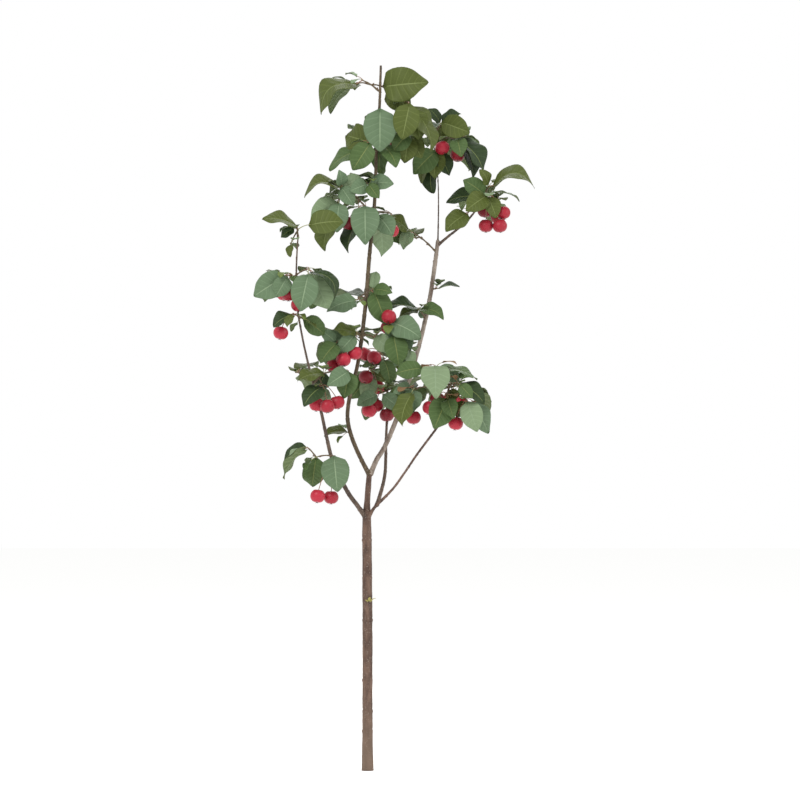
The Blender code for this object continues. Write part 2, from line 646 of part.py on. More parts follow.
def inside_room(start, end, spots):
    """True if what reaches from start to end stays behind the front leaves, whose middles are the spots."""
    return all(any(math.hypot(place.x - spot.x, place.z - spot.z) < ROOM for spot in spots)
               for place in (start.lerp(end, 0.5), end))


def place_back_leaves(name, twig, spots, blocked, draw):
    """Seeded leaves round a twig's end. One that finds no clear place inside the mass's room is skipped."""
    made = []
    turned = draw.uniform(0, GOLDEN_ANGLE)
    for index in range(BACK_TWIG_LEAVES):
        for _ in range(BACK_TRIES):
            turned += GOLDEN_ANGLE
            heading = BACK_LEAF_SPREAD * math.sin(turned) + draw.uniform(*BACK_HEADING_SPREAD)
            droop = draw.uniform(*BACK_DROOP)
            leaf = back_leaf(twig.line[-1], node_of(twig, index), heading, droop, draw.uniform(*BACK_SIZE))
            if inside_room(leaf.base, leaf.tip, spots) and leaf_fits(name, leaf, blocked, True):
                made.append(leaf)
                blocked.append(leaf_solid(name, leaf, BLADE_FROM))
                break
    return made


def mesh_object(name, mesh, collection):
    """An object for a mesh, in a collection."""
    made = bpy.data.objects.new(name, mesh)
    collection.objects.link(made)
    return made


def shape_object(name, corners, faces, collection):
    """An object for corners and faces."""
    mesh = bpy.data.meshes.new(name)
    mesh.from_pydata([tuple(c) for c in corners], [], faces)
    solid = bmesh.new()
    solid.from_mesh(mesh)
    bmesh.ops.recalc_face_normals(solid, faces=solid.faces)
    bmesh.ops.triangulate(solid, faces=solid.faces)
    solid.to_mesh(mesh)
    solid.free()
    return mesh_object(name, mesh, collection)


def island_volume(faces):
    """The signed volume inside a set of triangles."""
    return sum(f.verts[0].co.dot(f.verts[1].co.cross(f.verts[2].co)) for f in faces) / 6


def keep_largest_body(mesh):
    """Drops loose scraps, and fills sealed hollows by dropping their walls."""
    solid = bmesh.new()
    solid.from_mesh(mesh)
    bmesh.ops.triangulate(solid, faces=solid.faces)
    left = set(solid.faces)
    islands = []
    while left:
        reached = {left.pop()}
        edge_of = list(reached)
        while edge_of:
            near = {f for e in edge_of.pop().edges if len(e.link_faces) == 2 for f in e.link_faces} & left
            left -= near
            reached |= near
            edge_of.extend(near)
        islands.append(reached)
    islands.sort(key=island_volume)
    dropped = [face for island in islands[:-1] for face in island]
    bmesh.ops.delete(solid, geom=dropped, context="FACES")
    solid.to_mesh(mesh)
    solid.free()


def apply_booleans(target, cutter_meshes, joined=None):
    """Joins a collection to the target, then cuts the target by each cutter, and applies both.

    The union of thin leaves and twigs needs the MANIFOLD solver, because EXACT leaves some edges open.
    """
    cutters = [mesh_object(f"{target.name}_cutter", mesh, CUTTERS) for mesh in cutter_meshes]
    if joined:
        join = target.modifiers.new("join", "BOOLEAN")
        join.operation = "UNION"
        join.operand_type = "COLLECTION"
        join.collection = joined
        join.solver = "MANIFOLD"
    for cutter in cutters:
        cut = target.modifiers.new("cut", "BOOLEAN")
        cut.operation = "DIFFERENCE"
        cut.object = cutter
        cut.solver = "MANIFOLD" if joined else "EXACT"
    bpy.context.view_layer.update()
    mesh = bpy.data.meshes.new_from_object(target.evaluated_get(bpy.context.evaluated_depsgraph_get()))
    target.modifiers.clear()
    target.data = mesh
    for used in [*cutters, *(list(joined.objects) if joined else [])]:
        bpy.data.objects.remove(used)
    keep_largest_body(mesh)


def finish_object(target, look):
    """Gives an object its own material and smooth shading."""
    target.data.name = target.name
    target.data.materials.clear()
    target.data.materials.append(plain_material(target.name, look))
    target.data.shade_smooth()
    target.data.set_sharp_from_angle(angle=SHARP_ANGLE)


def build_limbs():
    """The trunk and the boughs. Each is cut where it meets its parent, and where it meets an elder from the same fork."""
    elders = []
    for name, limb in LIMBS.items():
        made = mesh_object(name, limb_mesh(name), PARTS)
        met = [elder for elder in elders if elder == limb.parent or LIMBS[elder].parent == limb.parent]
        if met:
            apply_booleans(made, [limb_mesh(elder, SEAT_GAP) for elder in met])
        finish_object(made, BARK)
        elders.append(name)


def grow_crown():
    """The twigs, fruit and leaves of every mass, each kept clear of the limbs and of the other masses."""
    blocked = [mesh_solid(name, limb_mesh(name, CLEARANCE)) for name in LIMBS]
    draws = {name: random.Random(SEED + number) for number, name in enumerate(MASSES)}
    twigs, fruit, leaves = {}, {}, {}
    for name in MASSES:
        twigs[name] = grow_twigs(name, draws[name], blocked)
        blocked += [twig_solid(name, twig) for twig in twigs[name]]
    for name in MASSES:
        fruit[name] = []
        for twig in front_twigs(twigs[name]):
            fruit[name] += grow_fruit(name, twig, twig.spray.fruit, blocked)
    for name in MASSES:
        leaves[name] = []
        for twig in front_twigs(twigs[name]):
            leaves[name] += place_front_leaves(name, twig, blocked, draws[name])
    for name in MASSES:
        spots = [leaf.base.lerp(leaf.tip, 0.5) for leaf in leaves[name]]
        for twig in twigs[name]:
            if not twig.spray:
                end = twig.line[-1]
                if inside_room(end, end - UP * BACK_FRUIT_DROP, spots):
                    fruit[name] += grow_fruit(name, twig, ((180, BACK_FRUIT_DROP),), blocked)
                leaves[name] += place_back_leaves(name, twig, spots, blocked, draws[name])
    return twigs, fruit, leaves


def front_twigs(twigs):
    """The twigs that end in a spray of the front outline."""
    return [twig for twig in twigs if twig.spray]


def build_mass(name, twigs, fruit, leaves):
    """One mass: its twigs, fruit and leaves joined to one solid, cut clear of the limb it grows from."""
    joining = new_collection(f"{name}_joining")
    stem, *others = [tube("twig", twig.line, twig.radii, SECTION) for twig in twigs]
    made = mesh_object(name, stem, PARTS)
    for mesh in others:
        mesh_object("twig", mesh, joining)
    for one in fruit:
        mesh_object("fruit", fruit_shape(one.centre, one.axis), joining)
        mesh_object("stalk", stalk_mesh(one), joining)
    for leaf in leaves:
        shape_object("leaf", *leaf_shape(leaf), joining)
    apply_booleans(made, [limb_mesh(MASSES[name].limb, SEAT_GAP)], joining)
    bpy.data.collections.remove(joining)
    finish_object(made, FOLIAGE)


clear_scene()
PARTS = new_collection(NAME)
CUTTERS = new_collection("cutters")
SECTION = ring_profile(TWIG_SIDES)
build_limbs()
CROWN = grow_crown()
for mass_name in MASSES:
    build_mass(mass_name, *(part[mass_name] for part in CROWN))
bpy.data.objects.remove(SECTION)
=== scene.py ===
"""The looks of a young crabapple tree: bark, twigs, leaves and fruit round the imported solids.

Metres, +Z up, in the solids' own frame. The limbs, twigs, leaves and fruit grow by the same rule and
the same seeds as the solids, and are then made in full: bark with its relief, leaves with veins and
toothed rims, fruit with hollow and calyx, petioles, stalks, buds and young leaves.
"""

import json
import math
import random
from collections import namedtuple

import bmesh
import bpy
import numpy as np
from mathutils import Matrix, Vector, noise
from mathutils.bvhtree import BVHTree

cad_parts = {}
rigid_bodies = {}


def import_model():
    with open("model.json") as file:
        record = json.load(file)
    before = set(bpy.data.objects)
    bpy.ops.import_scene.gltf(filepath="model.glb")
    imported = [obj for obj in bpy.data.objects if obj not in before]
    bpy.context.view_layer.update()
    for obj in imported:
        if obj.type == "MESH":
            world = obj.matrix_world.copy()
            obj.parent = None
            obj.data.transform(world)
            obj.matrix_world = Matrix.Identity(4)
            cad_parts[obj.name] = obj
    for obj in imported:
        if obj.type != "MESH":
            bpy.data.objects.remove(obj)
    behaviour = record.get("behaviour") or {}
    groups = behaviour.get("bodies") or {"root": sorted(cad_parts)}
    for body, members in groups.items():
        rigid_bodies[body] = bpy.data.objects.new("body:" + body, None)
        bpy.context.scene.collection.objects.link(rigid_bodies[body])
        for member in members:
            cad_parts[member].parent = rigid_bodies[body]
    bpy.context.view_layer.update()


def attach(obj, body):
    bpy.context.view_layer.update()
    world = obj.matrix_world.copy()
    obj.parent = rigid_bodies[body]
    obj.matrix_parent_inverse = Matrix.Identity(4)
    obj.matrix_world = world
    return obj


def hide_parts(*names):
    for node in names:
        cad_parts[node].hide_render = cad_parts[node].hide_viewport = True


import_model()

# Where the front view is taken from. Places across and up are given as they look from there, at the
# plane of the trunk, and a deeper place is moved along the line of sight.
EYE_ACROSS = 0.065
EYE_HEIGHT = 0.741
EYE_DISTANCE = 8.0
TOWARDS_EYE = Vector((0, -1, 0))
UP = Vector((0, 0, 1))

# Sizes that the limbs and twigs share
LIMB_SPAN_STEPS = 2
LIMB_BEVEL_RESOLUTION = 2
FLARE_GROWTH = 0.0016
FLARE_HEIGHT = 0.035
TWIG_SIDES = 3
TWIG_RADIUS = 0.0021
TWIG_THINNING = 0.8
TWIG_STEPS = 2
TWIG_LIFT = 0.12
STALK_RADIUS = 0.0010
TWIG_END_SHARE = 1.25
NODE_STEP = 0.003
NODE_REACH = 0.9

# The leaf, along its stalk and blade
BLADE_LENGTH = 0.072
BLADE_WIDTH_SHARE = 0.88
LEAF_STALK_LENGTH = 0.017
WELD = 1e-6
SHORTEST_STALK = 0.004
BLADE_FROM = 0.45
LEAF_STALK_RADIUS = 0.0010
LEAF_STALK_KEEL = 1.5
LEAF_STALK_RISE = 0.4
LEAF_THICKNESS = 0.0014
LEAF_ARCH = 0.10
LEAF_STATIONS = ((0.14, 0.84), (0.57, 0.92))
MOST_SWING = math.radians(62)
SIZE_SPREAD = 0.03
OUTWARD_SHARE = 0.2

# The fruit
FRUIT_RADIUS = 0.0148
FRUIT_FLATNESS = 0.95
FRUIT_SIDES = 8
FRUIT_RINGS = 4
FRUIT_HOLLOW_SHARE = 0.7
FRUIT_UPRIGHTNESS = 2
STALK_BOW = 0.25

# The seeded leaves behind the front outline
SEED = 41
GOLDEN_ANGLE = math.radians(137.5)
BACK_TWIG_LENGTH = 0.062
BACK_TWIG_LEAVES = 3
BACK_SPREAD = math.radians(50)
BACK_LEAF_SPREAD = math.radians(62)
BACK_TRIES = 10
BACK_TWIG_RISE = (-0.2, 0.3)
BACK_TWIG_SPREAD = (0.7, 1.1)
BACK_HEADING_SPREAD = (-0.3, 0.3)
BACK_DROOP = (-0.25, 0.85)
BACK_SIZE = (0.8, 1.05)
BACK_FRUIT_DROP = 0.034
ROOM = 0.030
CLEARANCE = 0.0007
DEPTH_SHIFTS = (0, -0.010, 0.010, -0.020, 0.020, -0.032, 0.032, -0.045, 0.045)
TWIG_BULGES = (0, -0.012, 0.012, -0.024, 0.024)

Limb = namedtuple("Limb", "parent foot_radius tip_radius way")
Mass = namedtuple("Mass", "limb height behind sprays")
Spray = namedtuple("Spray", "across depth height blades fruit", defaults=((),))
Blade = namedtuple("Blade", "clock reach turn arch size", defaults=(0, LEAF_ARCH, 1.0))
Twig = namedtuple("Twig", "line radii spray")
Leaf = namedtuple("Leaf", "node base tip normal arch width")
Fruit = namedtuple("Fruit", "node centre axis")
Solid = namedtuple("Solid", "owner low high tree")

# Each limb's way as (across, depth, height), from inside its parent to its tip
LIMBS = {
    "trunk": Limb(None, 0.0106, 0.0060, (
        (0.0, 0.0, 0.0), (0.0, 0.0, 0.14), (0.0, 0.0, 0.28), (-0.001, 0.0, 0.47),
        (-0.001, 0.0, 0.53), (0.004, 0.0, 0.597))),
    "left_bough": Limb("trunk", 0.0054, 0.0017, (
        (-0.001, 0.0, 0.503), (-0.021, -0.012, 0.531), (-0.042, -0.030, 0.561), (-0.072, -0.058, 0.627),
        (-0.093, -0.082, 0.719), (-0.118, -0.100, 0.811), (-0.142, -0.112, 0.941), (-0.139, -0.120, 1.066))),
    "leader": Limb("trunk", 0.0052, 0.0010, (
        (0.004, 0.0, 0.591), (-0.013, -0.008, 0.623), (-0.031, -0.018, 0.665), (-0.040, -0.026, 0.707),
        (-0.034, -0.032, 0.755), (-0.019, -0.034, 0.816), (-0.005, -0.030, 0.921), (0.004, -0.022, 1.031),
        (0.014, -0.012, 1.134), (0.018, -0.004, 1.241), (0.024, 0.0, 1.328), (0.0266, 0.0, 1.410))),
    "right_bough": Limb("trunk", 0.0052, 0.0036, (
        (0.005, 0.0, 0.591), (0.019, 0.014, 0.623), (0.033, 0.026, 0.645), (0.058, 0.050, 0.703),
        (0.087, 0.080, 0.791), (0.114, 0.105, 0.894), (0.129, 0.118, 0.971), (0.141, 0.125, 1.061))),
    "right_shoot": Limb("right_bough", 0.0019, 0.0012, (
        (0.1405, 0.125, 1.054), (0.142, 0.125, 1.131), (0.139, 0.120, 1.211), (0.127, 0.110, 1.279))),
    "right_side_bough": Limb("right_bough", 0.0028, 0.0017, (
        (0.140, 0.125, 1.050), (0.165, 0.112, 1.071), (0.189, 0.098, 1.090), (0.211, 0.084, 1.113),
        (0.229, 0.072, 1.140))),
    "right_low_bough": Limb("trunk", 0.0050, 0.0026, (
        (0.001, 0.0, 0.503), (0.014, -0.012, 0.526), (0.053, -0.045, 0.566), (0.099, -0.090, 0.632),
        (0.139, -0.120, 0.686), (0.153, -0.128, 0.712))),
    "inner_bough": Limb("right_low_bough", 0.0040, 0.0016, (
        (0.0185, -0.015, 0.530), (0.025, 0.010, 0.551), (0.035, 0.045, 0.594), (0.037, 0.085, 0.661),
        (0.040, 0.115, 0.741), (0.037, 0.135, 0.806))),
}

# Each mass: the limb and height that its stem leaves from, how many seeded twigs it has behind, and
# its sprays. A spray's hub is (across, depth from the limb, height). A blade has the clock angle and
# reach of its tip from the hub, in degrees from straight up to the right, how far it turns from the
# eye, its arch and its size. A fruit is (clock, reach).
MASSES = {
    "low_left": Mass("left_bough", 0.612, 0, (
        Spray(-0.067, -0.020, 0.629, (Blade(174, 0.071, size=0.98),), ((-176, 0.082), (-158, 0.085))),
        Spray(-0.103, -0.026, 0.627, (Blade(-172, 0.061, size=0.9),)),
        Spray(-0.121, -0.026, 0.647, (
            Blade(-121, 0.054, turn=62, size=0.75), Blade(-143, 0.077, turn=110, size=0.95))),
    )),
    "stem_leaf": Mass("leader", 0.676, 0, (
        Spray(-0.037, 0.012, 0.677, (Blade(-97, 0.050, turn=66, size=0.66),)),
    )),
    "left_low": Mass("left_bough", 0.773, 1, (
        Spray(-0.085, -0.010, 0.795, (Blade(-106, 0.056, turn=58, size=0.78), Blade(-156, 0.035, size=0.6))),
        Spray(-0.037, -0.004, 0.799, (Blade(-124, 0.050, size=0.72), Blade(-170, 0.055, size=0.75))),
        Spray(-0.091, -0.014, 0.769, (
            Blade(-137, 0.052, turn=30, size=0.78), Blade(180, 0.040, size=0.6)),
             ((137, 0.044), (165, 0.041), (-164, 0.038))),
    )),
    "left_fruit": Mass("left_bough", 0.905, 0, (
        Spray(-0.149, -0.016, 0.913, (
            Blade(-124, 0.046, turn=40, size=0.66), Blade(-159, 0.028, turn=30, size=0.4)),
             ((-147, 0.044),)),
        Spray(-0.129, 0.012, 0.903, (Blade(126, 0.052, turn=20, size=0.7),)),
    )),
    "left_mid": Mass("left_bough", 0.972, 1, (
        Spray(-0.155, -0.014, 0.995, (
            Blade(-123, 0.085), Blade(-150, 0.056, size=0.62)), ((-176, 0.042), (165, 0.065))),
        Spray(-0.115, -0.016, 1.005, (
            Blade(-168, 0.088), Blade(156, 0.088), Blade(143, 0.082, turn=64, arch=0.3, size=0.95),
            Blade(177, 0.080, turn=50, size=0.9))),
    )),
    "left_tip": Mass("left_bough", 1.065, 0, (
        Spray(-0.141, -0.004, 1.089, (
            Blade(-79, 0.069, turn=68, size=0.9), Blade(-125, 0.039, turn=20, size=0.42),
            Blade(85, 0.092, turn=20, size=0.9))),
        Spray(-0.153, 0.006, 1.055, (Blade(-176, 0.028, turn=35, size=0.33),)),
    )),
    "mid_left": Mass("leader", 0.862, 1, (
        Spray(-0.021, -0.016, 0.875, (
            Blade(-83, 0.048, turn=50, size=0.65), Blade(-117, 0.079, turn=20, size=0.95),
            Blade(-137, 0.052, size=0.6)), ((-174, 0.040),)),
        Spray(-0.061, -0.020, 0.855, (
            Blade(-141, 0.051, turn=20, size=0.7), Blade(-53, 0.040, turn=20, size=0.5),
            Blade(-165, 0.056, size=0.7)), ((-172, 0.046), (159, 0.036))),
    )),
    "leader_mid": Mass("leader", 0.955, 1, (
        Spray(0.011, 0.010, 0.963, (
            Blade(9, 0.036, turn=20, size=0.5), Blade(102, 0.039, turn=20, size=0.55),
            Blade(160, 0.075, turn=10, size=0.92), Blade(168, 0.049, size=0.6))),
        Spray(-0.021, -0.012, 0.941, (Blade(-110, 0.064, turn=35, size=0.85),)),
    )),
    "mid_right": Mass("leader", 0.871, 1, (
        Spray(0.013, 0.012, 0.867, (Blade(126, 0.047, size=0.62),)),
        Spray(0.047, 0.004, 0.897, (
            Blade(118, 0.068, turn=25, size=0.9), Blade(151, 0.075, size=0.95),
            Blade(170, 0.089, turn=10, size=0.8)), ((-22, 0.011), (-149, 0.012))),
        Spray(0.083, 0.004, 0.843, (Blade(-137, 0.044, turn=20, size=0.6), Blade(169, 0.033, size=0.4))),
    )),
    "right_mid": Mass("right_bough", 0.905, 0, (
        Spray(0.103, -0.016, 0.923, (
            Blade(-87, 0.070, turn=66, size=0.95), Blade(-113, 0.046, turn=50, size=0.6),
            Blade(112, 0.054, turn=45, arch=0.2, size=0.7), Blade(151, 0.021, size=0.28))),
    )),
    "right_leaf": Mass("right_bough", 0.964, 0, (
        Spray(0.139, -0.008, 0.964, (Blade(86, 0.046, turn=74, size=0.62),)),
    )),
    "mid_centre": Mass("inner_bough", 0.805, 3, (
        Spray(0.033, -0.012, 0.823, (
            Blade(167, 0.053, turn=30, size=0.7), Blade(-110, 0.047, turn=50, size=0.6)),
             ((-82, 0.020), (-75, 0.041))),
        Spray(0.007, -0.034, 0.795, (
            Blade(120, 0.032, turn=20, size=0.5), Blade(-142, 0.066, size=0.8),
            Blade(-170, 0.059, size=0.7)), ((-129, 0.013), (156, 0.032))),
        Spray(0.027, -0.040, 0.755, (
            Blade(-148, 0.064, turn=30, size=0.7), Blade(-117, 0.054, turn=20, size=0.6),
            Blade(129, 0.051, size=0.6)), ((-158, 0.027), (165, 0.046), (-146, 0.043), (140, 0.047))),
        Spray(0.075, -0.034, 0.767, (Blade(-150, 0.056, size=0.75),)),
    )),
    "low_right": Mass("right_low_bough", 0.709, 3, (
        Spray(0.135, -0.014, 0.811, (
            Blade(179, 0.064, size=1.05), Blade(-102, 0.080, turn=15, size=0.72),
            Blade(109, 0.088, turn=70, size=0.95), Blade(124, 0.058, turn=20, size=0.65))),
        Spray(0.183, -0.002, 0.773, (Blade(126, 0.062, turn=40, size=0.85), Blade(137, 0.038, size=0.5))),
        Spray(0.199, -0.002, 0.739, (
            Blade(146, 0.077, turn=35, size=0.98), Blade(162, 0.063, size=0.85),
            Blade(-148, 0.038, turn=40, size=0.5)), ((-153, 0.049),)),
        Spray(0.159, 0.004, 0.745, (
            Blade(-157, 0.065, size=0.9), Blade(74, 0.029, turn=30, size=0.5), Blade(163, 0.042, size=0.6)),
             ((-120, 0.039), (-96, 0.019))),
        Spray(0.091, 0.010, 0.763, (
            Blade(180, 0.046, size=0.66), Blade(-162, 0.076, turn=45, size=0.9),
            Blade(125, 0.032, size=0.5), Blade(-99, 0.038, turn=20, size=0.6)), ((179, 0.056),)),
    )),
    "leader_collar": Mass("leader", 1.105, 3, (
        Spray(-0.005, -0.022, 1.129, (
            Blade(179, 0.077, size=1.12), Blade(-159, 0.099, turn=60)), ((-135, 0.048),)),
        Spray(-0.053, -0.014, 1.167, (
            Blade(-106, 0.076, turn=66, arch=0.3, size=0.98), Blade(-4, 0.032, turn=30, size=0.45),
            Blade(67, 0.046, turn=20, size=0.55), Blade(146, 0.046, size=0.6))),
        Spray(-0.057, -0.012, 1.135, (
            Blade(-126, 0.069, size=0.95), Blade(-162, 0.100, turn=50, size=1.05),
            Blade(-176, 0.060, size=0.8))),
        Spray(0.019, 0.012, 1.111, (
            Blade(173, 0.083, turn=35), Blade(143, 0.053, turn=20, size=0.75)), ((150, 0.016),)),
    )),
    "leader_low_ring": Mass("leader", 1.161, 1, (
        Spray(0.001, -0.014, 1.173, (
            Blade(90, 0.051, turn=25, size=0.7), Blade(144, 0.037, size=0.5), Blade(-114, 0.039, size=0.6))),
    )),
    "leader_upper": Mass("leader", 1.261, 2, (
        Spray(0.025, -0.026, 1.323, (Blade(180, 0.086, size=1.16),)),
        Spray(0.007, -0.014, 1.255, (
            Blade(-70, 0.053, size=0.95), Blade(-122, 0.100, turn=55), Blade(-147, 0.067, size=0.85))),
        Spray(0.029, -0.004, 1.253, (
            Blade(147, 0.055, turn=40, size=0.75), Blade(-178, 0.062, turn=40, size=0.9),
            Blade(161, 0.036, size=0.5))),
    )),
    "leader_tip": Mass("leader", 1.357, 1, (
        Spray(-0.011, -0.010, 1.381, (Blade(-129, 0.107, turn=62, arch=0.32, size=1.3),)),
        Spray(0.031, 0.010, 1.367, (Blade(86, 0.089, size=1.25), Blade(129, 0.072, size=0.8))),
        Spray(0.085, -0.010, 1.333, (
            Blade(154, 0.104, turn=64, size=1.35), Blade(-168, 0.076, size=0.95),
            Blade(164, 0.073, turn=20, size=0.85))),
    )),
    "leader_side": Mass("leader", 1.305, 1, (
        Spray(0.083, 0.004, 1.275, (
            Blade(-140, 0.050, turn=10, size=0.65), Blade(-172, 0.061, size=0.75),
            Blade(153, 0.056, size=0.65), Blade(-73, 0.027, turn=30, size=0.4))),
    )),
    "right_top": Mass("right_shoot", 1.269, 3, (
        Spray(0.147, -0.012, 1.295, (
            Blade(-42, 0.038, turn=35, size=0.5), Blade(66, 0.044, turn=45, size=0.55),
            Blade(111, 0.062, size=0.8), Blade(180, 0.046, turn=10, size=0.6))),
        Spray(0.137, -0.022, 1.239, (
            Blade(-176, 0.056, size=0.75), Blade(-174, 0.085, turn=45),
            Blade(-136, 0.066, turn=10, size=0.85), Blade(-155, 0.071, turn=50, size=0.85),
            Blade(151, 0.057, turn=25, size=0.7)), ((65, 0.014),)),
        Spray(0.179, -0.020, 1.265, (
            Blade(141, 0.089, turn=60, size=1.15), Blade(157, 0.089, turn=66, size=1.15),
            Blade(169, 0.041, size=0.6))),
    )),
    "right_inner": Mass("right_bough", 1.041, 1, (
        Spray(0.085, -0.020, 1.079, (
            Blade(-114, 0.048, turn=10, size=0.65), Blade(-63, 0.061, turn=55, size=0.8),
            Blade(-160, 0.040, turn=20, size=0.55))),
    )),
    "right_side": Mass("right_side_bough", 1.135, 2, (
        Spray(0.243, -0.004, 1.169, (
            Blade(91, 0.092, turn=62, arch=0.36, size=1.15), Blade(-29, 0.037, turn=40, size=0.5))),
        Spray(0.239, -0.006, 1.149, (
            Blade(-56, 0.058, turn=10, size=0.7), Blade(-97, 0.083, turn=58),
            Blade(-126, 0.054, turn=10, size=0.75), Blade(159, 0.049, turn=20, size=0.6)),
             ((-178, 0.060), (136, 0.047), (157, 0.066))),
        Spray(0.201, -0.014, 1.115, (Blade(-128, 0.058, turn=25, size=0.78),)),
    )),
}

# The camera's frame at the trunk's plane
SENSOR_WIDTH = 36.0
FRAME_WIDTH = 1.6
VIEW_REACH = 100

# The leaf in full
VEINS = 6
YOUNG_VEINS = 3
ROW_PHASES = (-0.5, -0.28, -0.07, 0.07, 0.28)
COLUMN_SHARES = (0.035, 0.16, 0.36, 0.56, 0.76, 0.91, 1.0)
MIDRIB_SHARE = 0.035
MIDRIB_MARGIN = 1.01
VEIN_SLANT = 0.85
VEIN_HALF_WIDTH = 0.10
VEIN_FROM = 0.05
VEIN_TO = 0.9
VEIN_INNER = 1
OUTLINE_FORWARD = 0.76
OUTLINE_ROUNDNESS = 0.58
POINT_FROM = 0.72
OUTLINE_POINT = 0.35
NOTCH = 0.07
NOTCH_REACH = 0.11
LEAF_FULLNESS = (0.80, 0.96)
RIM_FROM = 0.95
TOOTH_DEPTH = 0.012
WAVE_SIZES = (0.02, 0.07)
WAVE_TURNS = 1.6
FOLD_SIZES = (0.05, 0.28)
TWIST = 0.22
TIP_CURL = (0.05, 0.35)
CURL_FROM = 0.55
QUILT = 0.022
QUILT_FROM = 0.2
MIDRIB_DEPTH = 0.0006
MIDRIB_KEEL = 2.2
LEAF_SHEET = 0.00075
RIM_THINNING = 0.4

# The fruit in full
FRUIT_ROUND = 28
FRUIT_DOWN = 20
FRUIT_LOBE = 0.012
FRUIT_LOBES = 5
FRUIT_HOLLOW = 0.0034
HOLLOW_SPREAD = 0.34
FRUIT_BASIN = 0.0020
BASIN_SPREAD = 0.34
FRUIT_TOP_RINGS = 2
SEPALS = 5
SEPAL_DROOP = 0.6
SEPAL_LENGTH = 0.0042
SEPAL_WIDTH = 0.0011
FRUIT_STALK_RADIUS = 0.0008

# Twigs, petioles and buds in full
DENSE_STEPS = 6
FRAME_GUIDE = np.array((0.31, 0.52, 0.79))
TWIG_RING_STEP = 0.0018
TWIG_NODE_STEP = 0.019
TWIG_FOOT = 0.003
TWIG_NODE_SPREAD = 0.22
TWIG_FULLNESS = 0.9
TWIG_SWELL = 0.35
TWIG_ROUND = 10
BUD_LEAN = 0.7
BUD_LENGTH = 0.0034
BUD_RADIUS = 0.0012
BUD_STEPS = (0.0, 0.25, 0.55, 0.85, 1.0)
BUD_FULLNESS = (0.6, 1.0, 0.9, 0.45, 0.08)
BUD_ROUND = 6
PETIOLE_RADIUS = 0.0009
PETIOLE_TAPER = (1.35, 1.0, 0.9, 0.85, 0.6)
PETIOLE_ROUND = 7
PETIOLE_BENDS = 4
PETIOLE_LEAST = 0.6
PETIOLE_BY_SIZE = 0.4
GREEN_PETIOLES = 0.6
STALK_BENDS = 6
STALK_LIFT = 2
PETIOLE_STEP = 0.003
PETIOLE_BOW = 0.22
PETIOLE_INTO_BLADE = 0.05
SMALL_LEAVES = 2
SMALL_SIZES = (0.25, 0.45)
SPROUT_HEIGHT = 0.336
SPROUT_WAY = Vector((0.45, -0.89, 0)).normalized()
SPROUT_SIZE = 0.012
SPROUT_SEAT = 0.9
SPROUT_STALK = 0.003
SPROUT_ARCH = 0.1
SPROUT_WIDTH_SHARE = 0.6
SPROUT_LEAVES = ((-70, 0.5, 0.8), (-15, 1.2, 1.0), (55, 0.7, 1.1))

# The bark in full
BARK_STEP = 0.0016
TRUNK_ROUND = 40
BOUGH_ROUND = 22
BARK_NOISE_ROUND = 1.1
BARK_NOISE_ALONG = 40.0
BARK_BUMP = 0.055
BARK_GRAIN = 0.03
BARK_GRAIN_SCALE = 4.5
TRUNK_NODES = (0.079, 0.119, 0.181, 0.301, 0.385, 0.461)
BARK_SHARES = {
    "trunk": ((0.0, 1.0), (0.35, 1.12), (0.8, 1.36), (0.845, 1.32), (0.9, 0.92), (1.0, 0.92)),
    "leader": ((0.0, 0.85), (0.25, 0.9), (0.5, 1.3), (0.75, 1.6), (1.0, 2.2)),
    "right_bough": ((0.0, 0.95), (0.5, 1.0), (1.0, 1.2)),
    "right_shoot": ((0.0, 0.8), (1.0, 0.6)),
    "left_bough": ((0.0, 0.9), (0.33, 0.85), (0.66, 0.65), (1.0, 0.85)),
    "right_low_bough": ((0.0, 0.75), (0.33, 0.55), (0.66, 0.65), (1.0, 0.85)),
}
NODE_CREASE_ABOVE = 0.0038
NODE_CREASE_WIDTH = 0.0012
NODE_CREASE_DEPTH = 0.0007
NODE_FIRST = 0.03
NODE_FIRST_SPREAD = (0.6, 1.4)
NODE_SPACING_SPREAD = (0.7, 1.3)
NODE_ALL_ROUND = 0.35
NODE_AT_SIDE = 0.65
NODE_SIDE_SPREAD = 0.8
NODE_SIZE_POWER = 0.5
NODE_LAST = 0.02
NODE_SPACING = 0.042
NODE_RING_WIDTH = 0.0028
NODE_RING_HEIGHT = 0.0011
LENTICELS_PER_METRE = 260
LENTICEL_HEIGHT = 0.0011
LENTICEL_WIDTH = 0.0024
LENTICEL_RISE = 0.00028
COLLAR_GROWTH = 0.30
COLLAR_LENGTH = 0.016
FORK_REACH = 0.018
FORK_SMOOTHING = 6
FORK_SMOOTHING_STEP = 0.5

